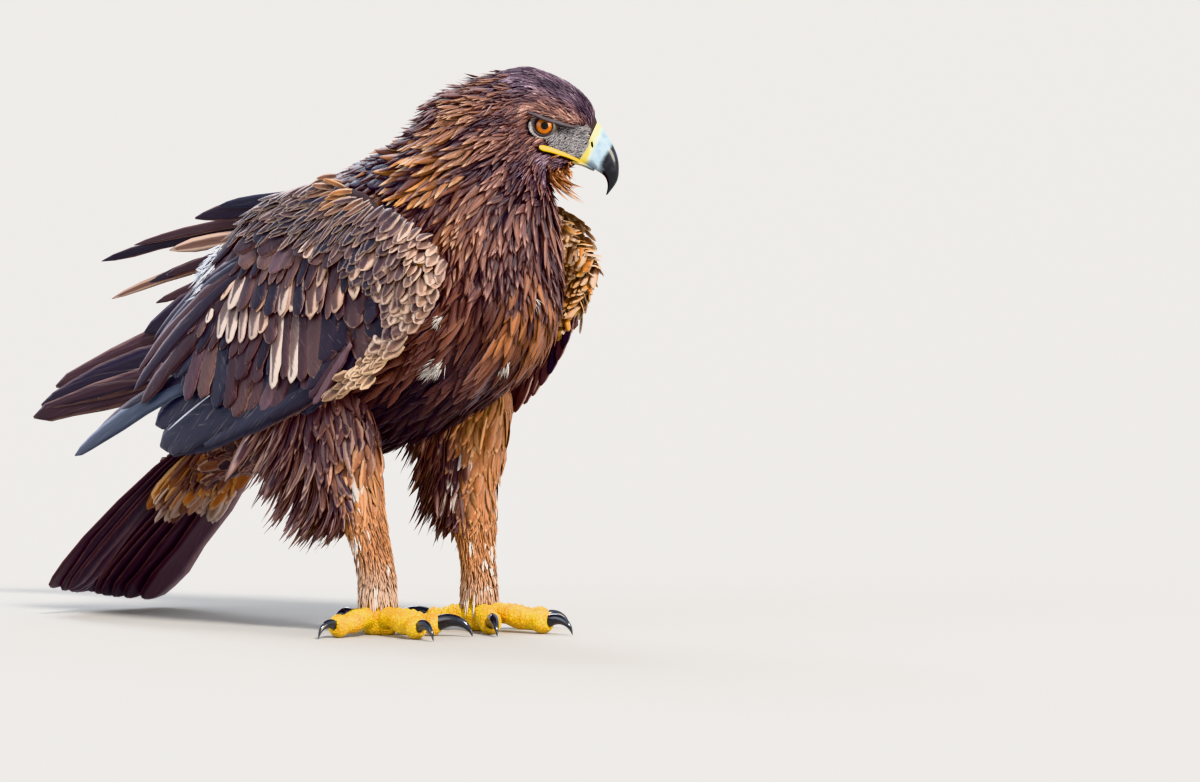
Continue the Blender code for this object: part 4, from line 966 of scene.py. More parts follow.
def sheath(name, table, count, segments, square):
    """A bill half lofted through ovals, arched above and square at its cutting edges."""
    horn = bmesh.new()
    rows = []
    for k in range(count):
        top_a, top_h, low_a, low_h, half = through(table, (len(table) - 1) * k / (count - 1))
        top, low = on_head(top_a, top_h, 0), on_head(low_a, low_h, 0)
        rows.append(((top + low) / 2, (on_head(0, 0, 1) - on_head(0, 0, 0)) * half, (top - low) / 2))
    loops = loft(horn, rows, segments)
    for (middle_at, one, two), loop in zip(rows, loops):
        for v in loop:
            away = v.co - middle_at
            x, y = away.dot(one) / one.length_squared, away.dot(two) / two.length_squared
            y = y if y > 0 else -(abs(y) ** square)
            v.co = middle_at + one * math.copysign(abs(x) ** 0.9, x) + two * y
    return joined(name, horn)


bill = sheath("bill_and_cere", BILL_RINGS, 49, 40, 0.6)
slits = bmesh.new()
for sign in (-1, 1):
    hole = bmesh.ops.create_uvsphere(slits, u_segments=20, v_segments=12, radius=1)["verts"]
    for v in hole:
        x, y, z = v.co
        v.co = on_head(103.0 + 1.15 * x - 0.5 * z, 465.2 + 3.1 * z + 0.5 * x, sign * 12.6 + 4.0 * y)
cutter = joined("nostril_cutter", slits)
cut = bill.modifiers.new("nostrils", "BOOLEAN")
cut.operation, cut.object, cut.solver = "DIFFERENCE", cutter, "EXACT"
bpy.context.view_layer.update()
fitted(bill)
bpy.data.objects.remove(cutter)
paint = Paint("bill_horn", 0.25, Coat_Weight=0.35, Coat_Roughness=0.08)
along, height, aside = head_axes(paint)
cloud = paint.noise(paint.place(), 160.0, 3.0)
fine = paint.noise(paint.place(), 900.0, 2.0)
horn = paint.mix(cloud.ramp(0.35, 0.65), (0.24, 0.34, 0.42), (0.44, 0.57, 0.65))
edge_line = 110.8 + (height - 449.0).most(0.0) * 0.62
black = (along - edge_line + (cloud - 0.5) * 7.0).ramp(-2.5, 3.5)
horn = paint.mix(black, horn, paint.mix(cloud.ramp(0.4, 0.8), (0.004, 0.005, 0.008), (0.016, 0.020, 0.032)))
cere_line = along - 104.5 - (height - 466.0) * 0.42
skin_tone = paint.mix((height + cloud * 10.0).ramp(462.0, 480.0), (0.66, 0.66, 0.36), (0.78, 0.76, 0.36))
skin_tone = paint.mix((104.0 - along + (height - 462.0) * 0.1).ramp(1.0, 5.0), skin_tone, (0.74, 0.62, 0.10))
colour = paint.mix((cere_line + (cloud - 0.5) * 5.0).ramp(-1.5, 4.5), skin_tone, horn)
# painted shade: the walls of the nostril slits are painted near black as the dark inside the holes
colour = paint.mix((abs(aside)).ramp(7.5, 9.0, 0.0, 1.0) * (abs(along - 103.0)).ramp(1.2, 2.6, 1.0, 0.0) * (abs(height - 465.2)).ramp(2.6, 3.8, 1.0, 0.0) * (abs(aside)).ramp(10.9, 11.6, 1.0, 0.0), colour, (0.01, 0.008, 0.005))
dress(bill, paint.finish(colour, black * -0.1 + 0.36, fine, 0.0003, 0.15), ("cere", "bill_upper"))

jaw = sheath("bill_under", LOWER_RINGS, 25, 32, 1.0)
paint = Paint("bill_horn_under", 0.3)
along, height, aside = head_axes(paint)
cloud = paint.noise(paint.place(), 200.0, 3.0)
colour = paint.mix(along.ramp(90.0, 101.0), (0.52, 0.44, 0.16), paint.mix(cloud, (0.13, 0.17, 0.21), (0.07, 0.09, 0.12)))
dress(jaw, paint.finish(colour), ("bill_lower",))

# The gape
# The soft yellow flange at the corner of the mouth, from under the eye to the bill.
GAPE = np.array((
    (53.5, 463.4, 1.5), (57, 462.6, 2.6), (63, 461.2, 2.6), (71, 458.4, 2.3), (80, 455.2, 2.0), (88, 451.4, 1.8),
    (95, 447.6, 1.4),
))
for word, sign in (("right", -1), ("left", 1)):
    roll = bmesh.new()
    rows = []
    for k in range(29):
        along, height, r = through(GAPE, 6 * k / 28)
        aside = head_aside(along, height) if along < 88 else head_aside(88, height) * (1 - (along - 88) / 30)
        centre = on_head(along, height, sign * (aside + 0.2))
        rows.append((centre, (on_head(0, 0, sign) - on_head(0, 0, 0)) * (r * 0.8), Vector((0, 0, r))))
    loft(roll, rows, 18)
    flange = joined(f"gape_{word}", roll)
    paint = Paint(f"gape_skin_{word}", 0.35, Coat_Weight=0.3)
    cloud = paint.noise(paint.place(), 500.0, 2.0)
    dress(flange, paint.finish(paint.mix(cloud, (0.92, 0.66, 0.002), (0.84, 0.52, 0.004)), None, cloud, 0.0004, 0.3))

# The wings
# Each folded wing is clad in tiers, every one lying over the next below it: scale-like lesser
# coverts with buff rims from the wrist, two rows of median coverts, the long pale-edged greater
# coverts, and the flight feathers, stiff blades on a strong shaft.
SECONDARIES = (
    ((-159, 350), (-254, 242)), ((-138, 329), (-227, 226)), ((-111, 311), (-192, 216)), ((-84, 303), (-148, 209)),
    ((-56, 295), (-112, 203)), ((-14, 291), (-71, 207)), ((21, 288), (-28, 226)),
)
GREATER = (
    ((-185, 374), (-238, 282)), ((-158, 366), (-204, 263)), ((-126, 358), (-166, 265)), ((-99, 353), (-135, 260)),
    ((-71, 346), (-101, 242)), ((-48, 342), (-69, 238)), ((-15, 339), (-33, 256)), ((18, 336), (4, 273)),
    ((46, 337), (36, 289)),
)
MEDIAN = (
    ((-164, 394), (-213, 321)), ((-135, 386), (-162, 309)), ((-106, 382), (-120, 301)), ((-78, 379), (-84, 300)),
    ((-47, 375), (-49, 302)), ((-11, 368), (-11, 299)), ((30, 358), (30, 305)), ((69, 347), (59, 294)),
)
UPPER_MEDIAN = (
    ((-144, 409), (-204, 348)), ((-117, 405), (-153, 338)), ((-88, 402), (-111, 333)), ((-55, 399), (-72, 329)),
    ((-24, 393), (-32, 329)), ((15, 386), (15, 329)), ((53, 375), (56, 323)), ((87, 360), (82, 309)),
)
# Feathers that stand out, each by root and tip seen from its side, breadth and colouring.
UPPER_MEDIAN_ROW = (
    ((-113, 396), (-134, 373), 18, "night"), ((-123, 384), (-162, 362), 16, "umber"),
    ((-133, 371), (-154, 348), 16, "brown"), ((-95, 381), (-120, 361), 18, "umber"),
    ((-106, 370), (-122, 344), 16, "brown"), ((-88, 371), (-99, 344), 16, "mauve"),
    ((-72, 372), (-79, 348), 16, "brown"), ((-57, 376), (-64, 357), 16, "umber"),
    ((-42, 383), (-52, 362), 12, "tan"), ((-28, 380), (-39, 347), 16, "brown"),
    ((-13, 380), (-21, 355), 14, "umber"), ((5, 381), (-4, 356), 14, "brown"),
    ((20, 377), (18, 347), 16, "tan"), ((42, 378), (36, 343), 18, "tan"), ((67, 373), (56, 342), 18, "tan"),
)
MEDIAN_ROW = (
    ((-150, 358), (-161, 309), 15, "cream"), ((-135, 355), (-141, 301), 14, "umber"),
    ((-118, 351), (-122, 303), 17, "night"), ((-100, 350), (-103, 306), 18, "night"),
    ((-84, 351), (-78, 301), 14, "cream"), ((-68, 349), (-59, 303), 17, "night"),
    ((-49, 350), (-40, 303), 16, "tan"), ((-32, 347), (-28, 317), 14, "brown"),
    ((-17, 347), (-1, 304), 19, "tan"), ((2, 352), (31, 324), 25, "buff"),
    ((33, 354), (61, 330), 20, "buff"), ((52, 350), (64, 318), 19, "tan"),
    ((71, 343), (73, 303), 19, "tan"), ((16, 332), (25, 292), 22, "brown"),
    ((34, 323), (47, 301), 20, "night"), ((54, 317), (47, 280), 27, "night"),
    ((81, 310), (65, 285), 23, "umber"), ((91, 335), (87, 314), 16, "buff"),
    ((100, 323), (85, 302), 14, "buff"),
)
GREATER_ROW = (
    ((-225, 326), (-220, 280), 14, "umber"), ((-209, 331), (-204, 276), 12, "brown"),
    ((-192, 332), (-191, 285), 12, "cream"), ((-175, 329), (-174, 279), 12, "cream"),
    ((-161, 325), (-155, 275), 13, "cream"), ((-145, 326), (-139, 276), 12, "cream"),
    ((-128, 325), (-124, 277), 14, "cream"), ((-114, 325), (-110, 281), 14, "tan"),
    ((-103, 326), (-99, 272), 14, "umber"), ((-92, 316), (-94, 237), 15, "cream"),
    ((-79, 316), (-81, 245), 14, "umber"), ((-68, 313), (-70, 239), 14, "cream"),
    ((-56, 313), (-57, 242), 17, "umber"), ((-39, 314), (-39, 243), 23, "brown"),
    ((-21, 321), (-27, 256), 34, "night"), ((-4, 321), (-7, 277), 25, "night"),
    ((15, 308), (30, 260), 23, "brown"), ((37, 292), (41, 266), 18, "tan"),
    ((58, 289), (57, 275), 12, "buff"),
)
SECONDARY_ROW = (
    ((-204, 299), (-225, 222), 16, "mauve"), ((-188, 296), (-203, 219), 16, "brown"),
    ((-172, 292), (-184, 212), 18, "slate"), ((-155, 289), (-168, 213), 18, "umber"),
    ((-139, 283), (-142, 241), 16, "umber"), ((-122, 280), (-121, 241), 16, "umber"),
    ((-132, 253), (-153, 207), 16, "brown"), ((-114, 254), (-137, 206), 16, "brown"),
    ((-96, 254), (-120, 203), 17, "mauve"), ((-79, 255), (-108, 204), 17, "umber"),
    ((-62, 251), (-92, 207), 17, "night"), ((-44, 250), (-74, 213), 16, "mauve"),
    ((-27, 251), (-56, 214), 16, "slate"), ((-15, 257), (-40, 225), 16, "umber"),
)
SHOULDER = (
    (-25, 437), (-78, 424), (-133, 412), (-165, 388), (-130, 380), (-95, 390), (-60, 388), (-30, 380), (5, 372),
    (24, 356), (62, 346), (72, 322), (80, 302), (62, 286), (32, 262), (-4, 240), (-14, 233), (41, 249), (92, 292),
    (116, 318), (130, 358), (113, 385), (82, 404), (6, 420),
)
# Which way the small coverts lie: a place on the wing's side, and the way along and up there.
LIE = np.array((
    (-2, 424, -1.0, -0.08), (-75, 412, -0.93, -0.37), (-143, 371, -0.71, -0.7), (-5, 401, -0.58, -0.81),
    (-61, 356, -0.46, -0.89), (74, 394, -0.45, -0.89), (115, 363, -0.13, -0.99), (103, 315, -0.67, -0.75),
    (68, 280, -0.84, -0.54), (21, 250, -0.92, -0.4), (-2, 358, -0.45, -0.89), (43, 322, -0.45, -0.89),
))
# Long feathers that stand free: root, tip, breadth, colouring, and how far they sag.
RIGHT_LONG = (
    ((-20, -109, 240), (-208, -92, 178), 38, "night", 0.02), ((-44, -108, 236), (-236, -88, 170), 42, "slate", 0.02),
    ((-70, -105, 240), (-258, -84, 166), 44, "slate", 0.02), ((-98, -101, 250), (-272, -80, 170), 44, "slate", 0.02),
    ((-120, -97, 262), (-282, -76, 190), 36, "slate", 0.02), ((-150, -93, 256), (-404, -62, 155), 22, "sky", 0.03),
    ((-160, -91, 262), (-380, -64, 172), 20, "night", 0.03), ((-150, -92, 338), (-292, -86, 210), 20, "umber", 0.0),
    ((-146, -92, 346), (-302, -85, 222), 16, "night", 0.03), ((-140, -91, 353), (-300, -82, 240), 14, "umber", 0.04),
    ((-132, -91, 360), (-288, -79, 256), 14, "slate", 0.05), ((-122, -90, 367), (-284, -76, 272), 12, "night", 0.05),
    ((-112, -89, 374), (-262, -73, 288), 12, "mist", 0.05), ((-100, -88, 381), (-254, -70, 306), 12, "umber", 0.05),
    ((-88, -87, 389), (-236, -68, 326), 12, "mist", 0.05), ((-188, -99, 222), (-254, -88, 186), 1.7, "quill", 0.0),
)
LEFT_LONG = (
    ((-20, 109, 240), (-208, 92, 178), 38, "night", 0.02), ((-50, 107, 240), (-262, 84, 172), 42, "slate", 0.02),
    ((-80, 103, 250), (-330, 78, 172), 42, "slate", 0.02), ((-110, 99, 262), (-420, 72, 180), 40, "umber", 0.02),
    ((-134, 95, 262), (-574, 54, 181), 36, "umber", 0.03), ((-146, 93, 292), (-564, 55, 193), 36, "night", 0.03),
    ((-146, 91, 322), (-546, 57, 212), 34, "umber", 0.03), ((-150, 88, 320), (-400, 74, 240), 30, "night", 0.02),
    ((-150, 86, 350), (-434, 66, 268), 34, "night", 0.05), ((-132, 82, 356), (-418, 66, 298), 15, "umber", 0.04),
    ((-120, 80, 362), (-482, 70, 300), 12, "tan", 0.05), ((-112, 78, 368), (-432, 70, 317), 13, "night", 0.05),
    ((-104, 74, 376), (-404, 66, 326), 15, "umber", 0.03), ((-96, 70, 384), (-398, 64, 350), 18, "tan", 0.02),
    ((-90, 66, 392), (-486, 60, 337), 14, "night", 0.03), ((-84, 64, 396), (-440, 58, 354), 11, "umber", 0.03),
    ((-70, 60, 405), (-346, 46, 383), 24, "night", 0.03), ((-62, 58, 410), (-312, 44, 396), 15, "slate", 0.02),
    ((40, 110, 270), (16, 94, 196), 16, "umber", 0.0), ((50, 110, 276), (30, 94, 206), 14, "brown", 0.0),
    ((58, 111, 284), (38, 98, 214), 14, "umber", 0.0), ((66, 112, 290), (46, 101, 222), 13, "brown", 0.0),
    ((73, 112, 297), (55, 103, 232), 13, "umber", 0.0), ((79, 112, 303), (64, 105, 243), 12, "night", 0.0),
    ((84, 112, 308), (73, 106, 256), 12, "umber", 0.0), ((89, 112, 314), (81, 107, 270), 11, "night", 0.0),
)
# Each colouring's darker and lighter vane, darker and lighter rim, and how strong the rim is.
COLOURING = {
    "night": ((0.014, 0.011, 0.024), (0.030, 0.020, 0.036), (0.17, 0.095, 0.095), (0.44, 0.28, 0.24), 0.80),
    "umber": ((0.044, 0.022, 0.030), (0.085, 0.042, 0.048), (0.24, 0.13, 0.12), (0.48, 0.30, 0.25), 0.78),
    "brown": ((0.085, 0.042, 0.046), (0.15, 0.080, 0.076), (0.38, 0.22, 0.18), (0.62, 0.42, 0.34), 0.86),
    "mauve": ((0.095, 0.050, 0.066), (0.17, 0.095, 0.11), (0.32, 0.20, 0.20), (0.52, 0.37, 0.35), 0.8),
    "slate": ((0.015, 0.015, 0.030), (0.030, 0.031, 0.054), (0.075, 0.075, 0.115), (0.18, 0.18, 0.24), 0.6),
    "quill": ((0.80, 0.84, 0.92), (0.88, 0.92, 0.98), (0.9, 0.94, 1.0), (0.9, 0.94, 1.0), 0.5),
    "sky": ((0.055, 0.070, 0.11), (0.085, 0.105, 0.155), (0.18, 0.22, 0.30), (0.34, 0.40, 0.50), 0.8),
    # mist: mauve-grey vanes with pale blue-grey rims, partly the rims' own pale colour, partly painted blue sheen
    "mist": ((0.10, 0.085, 0.12), (0.17, 0.14, 0.19), (0.40, 0.38, 0.48), (0.66, 0.62, 0.70), 0.95),
    "tan": ((0.15, 0.076, 0.062), (0.26, 0.135, 0.098), (0.50, 0.31, 0.23), (0.74, 0.51, 0.39), 0.96),
    "buff": ((0.30, 0.160, 0.110), (0.44, 0.25, 0.17), (0.62, 0.40, 0.29), (0.82, 0.60, 0.46), 0.98),
    "cream": ((0.14, 0.080, 0.076), (0.28, 0.18, 0.16), (0.50, 0.37, 0.31), (0.78, 0.64, 0.55), 1.0),
}
COVERT = ((0, 0.55), (0.2, 0.82), (0.45, 1.0), (0.7, 0.98), (0.88, 0.74), (0.96, 0.42), (1, 0.1))
LESSER = ((0, 0.6), (0.2, 0.85), (0.42, 1.0), (0.64, 0.93), (0.82, 0.68), (0.93, 0.38), (1, 0.06))
QUILL = (
    (0, 0.3), (0.1, 0.62), (0.22, 0.88), (0.38, 1.0), (0.55, 1.0), (0.7, 0.95), (0.82, 0.84), (0.9, 0.68),
    (0.96, 0.44), (1, 0.08),
)


def on_wing(x, z):
    """The point of the right wing's face at these places seen from its side, and its normal."""
    x, z = np.asarray(x, float), np.asarray(z, float)
    p, q = np.clip((115 - x) / 350, 0.02, 0.98), np.full_like(x, 0.5)
    for _ in range(10):
        at = wing_face(p, q)
        dp, dq, _ = facing(wing_face, p, q)
        ex, ez = x - at[..., 0], z - at[..., 2]
        fall = dp[..., 0] * dq[..., 2] - dp[..., 2] * dq[..., 0]
        p = np.clip(p + (ex * dq[..., 2] - ez * dq[..., 0]) / fall, 0.0, 1.0)
        q = np.clip(q + (ez * dp[..., 0] - ex * dp[..., 2]) / fall, -0.15, 1.35)
    at, (_, _, n) = wing_face(p, q), facing(wing_face, np.clip(p, 0.05, 0.95), np.clip(q, 0.05, 0.95))
    n = np.where(n[..., 1:2] < 0, n, -n)
    round_it = np.clip(1 - (125 - x) / 28, 0, 1.2)
    over = np.clip(-q / 0.15, 0, 1)
    y = at[..., 1] + 15 * round_it**2 + 10 * over**2
    n = unit(n + stack(1.3 * round_it**1.5, 0 * x, 1.2 * over))
    return stack(x, y, z), n


def laid(roots, tips, outline, lifts, side, bow=0.0, stray=None):
    """Feather lines on a wing's face from roots to tips seen from its side, lifted off it."""
    t = np.array([o[0] for o in outline])[None, :, None]
    flat = roots[:, None] * (1 - t) + tips[:, None] * t
    way = unit(tips - roots)
    aside = np.stack([-way[:, 1], way[:, 0]], 1)[:, None]
    size = np.linalg.norm(tips - roots, axis=1)[:, None, None]
    flat = flat + aside * (bow * 4 * t * (1 - t) * size)
    at, n = on_wing(flat[..., 0], flat[..., 1])
    low, high = (np.asarray(v, float).reshape(-1, 1) for v in lifts)
    at = at + n * (low + (high - low) * t[..., 0])[..., None]
    return at * SIDES[side], n * SIDES[side]


def tier(rows, count, draw, wander=3.0):
    """Feathers spread evenly between a tier's key feathers, each a little astray."""
    keys = np.array(rows, float).reshape(len(rows), 4)
    k = np.linspace(0, len(keys) - 1, count)
    every = np.stack([np.interp(k, np.arange(len(keys)), keys[:, c]) for c in range(4)], 1)
    every = every + draw.normal(0, wander, every.shape) * np.array((0.3, 0.3, 0.6, 1.0))
    return every[:, :2], every[:, 2:]


def inside(points, border):
    border = np.array(border, float)
    x, y = points[:, 0], points[:, 1]
    hit = np.zeros(len(points), bool)
    for (x0, y0), (x1, y1) in zip(border, np.roll(border, -1, 0)):
        hit ^= ((y0 > y) != (y1 > y)) & (x < (x1 - x0) * (y - y0) / (y1 - y0 + 1e-9) + x0)
    return hit


def coloured(kinds, draw):
    """Tint and edge for feathers of these colourings, each a little different."""
    table = [COLOURING[k] for k in kinds]
    one, two, three, four = (np.array([c[i] for c in table]) for i in range(4))
    a, b = draw.random((len(table), 1)), draw.random((len(table), 1))
    return one * (1 - a) + two * a, np.concatenate([three * (1 - b) + four * b, np.array([[c[4]] for c in table])], 1)


def marked(rows, draw, wander=1.0):
    """Roots, tips, breadths and colours of a row of feathers that stand out."""
    keys = np.array([(*r[0], *r[1], r[2]) for r in rows], float)
    keys[:, :4] += draw.normal(0, wander, (len(keys), 4)) * (1, 1, 2.0, 3.0)
    wide = keys[:, 4] * draw.uniform(0.85, 1.2, len(keys))
    return keys[:, :2], keys[:, 2:4], wide, *coloured([r[3] for r in rows], draw)


for side, seed in (("right", 31), ("left", 32)):
    draw = np.random.default_rng(seed)
    lean = -1 if side == "right" else 1

    # lesser coverts: dark hearts and buff rims above, all tan and buff round the wrist
    low, high = np.min(SHOULDER, 0), np.max(SHOULDER, 0)
    cast = low + draw.random((30000, 2)) * (high - low)
    cast = cast[inside(cast, SHOULDER)]
    chosen, grid = [], {}
    for i, (x, z) in enumerate(cast):
        if side == "left" and x > 102:
            continue
        hem = np.clip((288 - z) / 14, 0, 1)
        crowd = 0.3 * np.clip((z - 386) / 20, 0, 1) + 0.2 * np.clip((x - 98) / 16, 0, 1)
        gap = (7.6 - 2.8 * hem) * (1 - crowd)
        cell = (int(x // 9), int(z // 9))
        near = (j for a in (-1, 0, 1) for b in (-1, 0, 1) for j in grid.get((cell[0] + a, cell[1] + b), ()))
        if all((cast[j][0] - x) ** 2 + (cast[j][1] - z) ** 2 > gap * gap for j in near):
            grid.setdefault(cell, []).append(i)
            chosen.append(i)
    root = cast[chosen]
    n = len(root)
    x, z = root.T
    far = ((root[:, None] - LIE[None, :, :2]) ** 2).sum(2)
    way = unit((LIE[None, :, 2:] / (far[..., None] + 60) ** 1.5).sum(1))
    turn = draw.normal(0, 0.16, n)
    way = np.stack([way[:, 0] * np.cos(turn) - way[:, 1] * np.sin(turn), way[:, 0] * np.sin(turn) + way[:, 1] * np.cos(turn)], 1)
    inner = np.clip((120 - x) / 90, 0, 1) * np.clip((420 - z) / 60, 0, 1)
    lower = np.clip((330 - z) / 30, 0, 1)
    ridge = np.clip((z - 372 - 0.12 * x) / 26, 0, 1) * np.clip((62 - x) / 40, 0, 1)
    long = (22 + 3 * inner + 2 * lower + 10 * ridge) * draw.uniform(0.75, 1.2, n)
    width = (16.5 + inner - 9.0 * ridge) * draw.uniform(0.7, 1.15, n)
    hem = np.clip((288 - z) / 14, 0, 1)
    rim = np.clip((x - 85) / 25, 0, 1)
    gold = bell(x, 0, 28) * np.clip((z - 406) / 12, 0, 1) * (draw.random(n) < 0.8)
    long, width = long * (1 - 0.2 * hem - 0.4 * rim - 0.35 * gold), width * (1 - 0.42 * hem - 0.25 * rim - 0.2 * gold)
    tips = root + way * long[:, None]
    lines, normals = laid(root, tips, LESSER, (-3.0, 3.0 + draw.uniform(-0.8, 2.0, n)), side)
    wrist = np.clip(np.clip((x - 62) / 50, 0, 1) + np.clip((345 - z) / 40, 0, 1) * np.clip((x + 10) / 50, 0, 1), 0, 1)
    dark = bell(x, 62, 26) * bell(z, 312, 26)
    shade = np.clip(wrist - 0.55 * dark + draw.normal(0, 0.26, n), 0, 1)
    kinds = np.select(
        [shade > 0.9, shade > 0.5, shade > 0.35, draw.random(n) < 0.4, draw.random(n) < 0.6],
        ["buff", "tan", "brown", "night", "umber"], "brown",
    )
    tint, edge = coloured(kinds, draw)
    rims = blend(draw.random(n), (0.44, 0.26, 0.19), (0.88, 0.66, 0.52))
    strength = np.where(shade > 0.5, draw.uniform(0.88, 0.97, n), draw.uniform(0.5, 0.85, n))
    edge = np.concatenate([blend(np.full(n, 0.8), edge[:, :3], rims), strength[:, None]], 1)
    edge[:, :3] = blend(ridge * 0.5 * draw.random(n), edge[:, :3], (0.95, 0.72, 0.58))
    tint = blend(gold * 0.85, tint, (0.55, 0.20, 0.045))
    tint = blend(hem * 0.6, tint, (0.34, 0.17, 0.08))
    edge[:, :3] = blend(gold * 0.7, edge[:, :3], (0.88, 0.52, 0.22))
    edge[:, :3] = blend(hem * 0.8, edge[:, :3], (0.92, 0.62, 0.36))
    # On the far wing the front coverts are golden and cream: partly their own colour, partly painted light that
    # brightens this side of the wing
    if side == "left":
        front = np.clip((x - 52) / 26, 0, 1)
        tint = blend(front, tint, blend(draw.random(n), (0.56, 0.20, 0.035), (0.90, 0.62, 0.40)))
        edge[:, :3] = blend(front, edge[:, :3], (0.96, 0.82, 0.62))
    lesser = feathers(
        f"coverts_lesser_{side}", lines, normals, width, LESSER, tint, edge, root * 0.002, BROAD, 0.45, 0.10,
        draw.normal(0, 0.06, n) + 0.07 * lean,
    )
    dress(lesser, plumage(f"lesser_covert_{side}", 0.56, 0.82, root=0.9, shaft=0.15, grain=1.0, core=0.5, soft=0.3))

    # two rows of median coverts
    sets = []
    for rows, count, wide, lifts in ((UPPER_MEDIAN, 20, 18, (-5.0, 0.6)), (MEDIAN, 21, 20, (-6.0, -0.4))):
        root, tip = tier(rows, count, draw)
        n = len(root)
        lines, normals = laid(root, tip, COVERT, (lifts[0], lifts[1] + draw.uniform(-0.4, 0.6, n)), side)
        pale = draw.random(n) < 0.85 * bell(tip[:, 0], -120, 75) * bell(tip[:, 1], 305, 30)
        kinds = np.where(pale, draw.choice(("tan", "cream", "tan", "brown"), n), draw.choice(("night", "umber", "brown"), n))
        tint, edge = coloured(kinds, draw)
        sets.append((lines, normals, wide * draw.uniform(0.9, 1.1, n), tint, edge, tip * 0.002))
    for rows, lifts in ((UPPER_MEDIAN_ROW, (-3.0, 3.0)), (MEDIAN_ROW, (-4.0, 1.8))):
        root, tip, wide, tint, edge = marked(rows, draw)
        n = len(root)
        lines, normals = laid(root, tip, COVERT, (lifts[0], lifts[1] + draw.uniform(-0.4, 0.8, n)), side)
        sets.append((lines, normals, wide * 1.5, tint, edge, tip * 0.002))
    lines, normals, width, tint, edge, place = (np.concatenate(c) for c in zip(*sets))
    median = feathers(
        f"coverts_median_{side}", lines, normals, width, COVERT, tint, edge, place, BROAD, 0.8, 0.16,
        draw.normal(0, 0.05, len(width)) + 0.1 * lean,
    )
    dress(median, plumage(f"median_covert_{side}", 0.72, 0.86, root=0.7, shaft=0.12, grain=0.7, core=0.45))

    # greater coverts
    sets = []
    root, tip = tier(GREATER, 19, draw, 3.5)
    n = len(root)
    lines, normals = laid(root, tip, QUILL, (-6.5, -2.2), side, 0.02)
    sets.append((lines, normals, 20 * draw.uniform(0.9, 1.15, n), *coloured(draw.choice(("night", "umber"), n), draw), tip * 0.002))
    root, tip, wide, tint, edge = marked(GREATER_ROW, draw)
    lines, normals = laid(root, tip, QUILL, (-5.0, 0.2 + draw.uniform(-0.4, 0.8, len(root))), side, 0.01)
    sets.append((lines, normals, wide * 1.55, tint, edge, tip * 0.002))
    lines, normals, width, tint, edge, place = (np.concatenate(c) for c in zip(*sets))
    greater = feathers(
        f"coverts_greater_{side}", lines, normals, width, QUILL, tint, edge, place, BROAD, 0.8, 0.14,
        draw.normal(0, 0.04, len(width)) + 0.11 * lean,
    )
    dress(greater, plumage(f"greater_covert_{side}", 0.74, 0.9, root=0.7, shaft=0.12, grain=0.8, core=0.45))

    # secondaries
    sets = []
    root, tip = tier(SECONDARIES, 17, draw, 2.5)
    n = len(root)
    lines, normals = laid(root, tip, QUILL, (-7.5, -4.0), side, 0.02)
    sets.append((lines, normals, 26 * draw.uniform(0.92, 1.08, n), *coloured(draw.choice(("slate", "umber", "night"), n), draw), tip * 0.002))
    root, tip, wide, tint, edge = marked(SECONDARY_ROW, draw)
    lines, normals = laid(root, tip, QUILL, (-6.0, -1.8 + draw.uniform(-0.4, 0.8, len(root))), side, 0.02)
    sets.append((lines, normals, wide * 1.55, tint, edge, tip * 0.002))
    lines, normals, width, tint, edge, place = (np.concatenate(c) for c in zip(*sets))
    quills = feathers(
        f"secondaries_{side}", lines, normals, width, QUILL, tint, edge, place, BROAD, 0.9, 0.12,
        draw.normal(0, 0.04, len(width)) + 0.12 * lean,
    )
    dress(quills, plumage(f"secondary_{side}", 0.8, 0.93, root=0.5, shaft=0.15, grain=0.6, core=0.3))

    # primaries, tertials and the thumb's feather
    rows = RIGHT_LONG if side == "right" else LEFT_LONG
    t = np.array([o[0] for o in QUILL])[:, None]
    out = np.array((0, -1.0, 0.1)) * SIDES[side]
    lines = []
    for start, end, wide, kind, sag in rows:
        start, end = np.array(start, float), np.array(end, float)
        size = np.linalg.norm(end - start)
        bow = out * 0.02 + np.array((0, 0, sag))
        lines.append(start * (1 - t) + end * t + bow * (size * 4 * t * (1 - t)))
    lines, wide = np.array(lines), np.array([r[2] for r in rows], float)
    tint, edge = coloured([r[3] for r in rows], draw)
    normals = np.broadcast_to(unit(out), lines.shape)
    quills = feathers(
        f"primaries_{side}", lines, normals, wide, QUILL, tint, edge, lines[:, 0, ::2] * 0.002, BROAD, 1.2, 0.1,
        draw.normal(0, 0.05, len(wide)) + 0.1 * lean,
    )
    quill_paint = plumage(
        f"primary_{side}", 0.82, 0.95, 0.42, root=0.4, shaft=0.15, grain=0.5, core=0.2
    )
    dress(quills, quill_paint)
    root = np.array(((15, 279), (6, 274), (-2, 270)), float)
    tip = np.array(((-39, 220), (-44, 226), (-46, 234)), float)
    lines, normals = laid(root, tip, QUILL, (-1.0, 1.5), side, -0.03)
    tint, edge = coloured(("mauve", "umber", "night"), draw)
    thumb = feathers(
        f"alula_{side}", lines, normals, np.array((16, 16, 15)), QUILL, tint, edge, tip * 0.002, BROAD, 0.9, 0.12,
        0.1 * lean,
    )
    dress(thumb, plumage(f"alula_{side}", 0.85, 0.95, 0.5, root=-0.4, shaft=0.3, grain=0.3))

    # white down that the wind shows at the wing's hind edge
    n = 70
    root = np.array((-206, 346)) + draw.normal(0, (4, 9), (n, 2))
    tip = root + draw.normal((-13, -17), (4, 6), (n, 2))
    lines, normals = laid(root, tip, WISP, (-1.0, 4.5 + draw.uniform(-1, 4, n)), side)
    tint = blend(draw.random(n), (0.62, 0.64, 0.72), (0.92, 0.93, 0.96))
    down = feathers(
        f"wing_down_{side}", lines, normals, draw.uniform(1.5, 4.5, n), WISP, tint, np.zeros((n, 4)), tip * 0.002,
        thick=0.4, tilt=draw.normal(0, 0.4, n),
    )
    dress(down, plumage(f"wing_down_{side}", root=0.2, shaft=0.0, roughness=0.7))

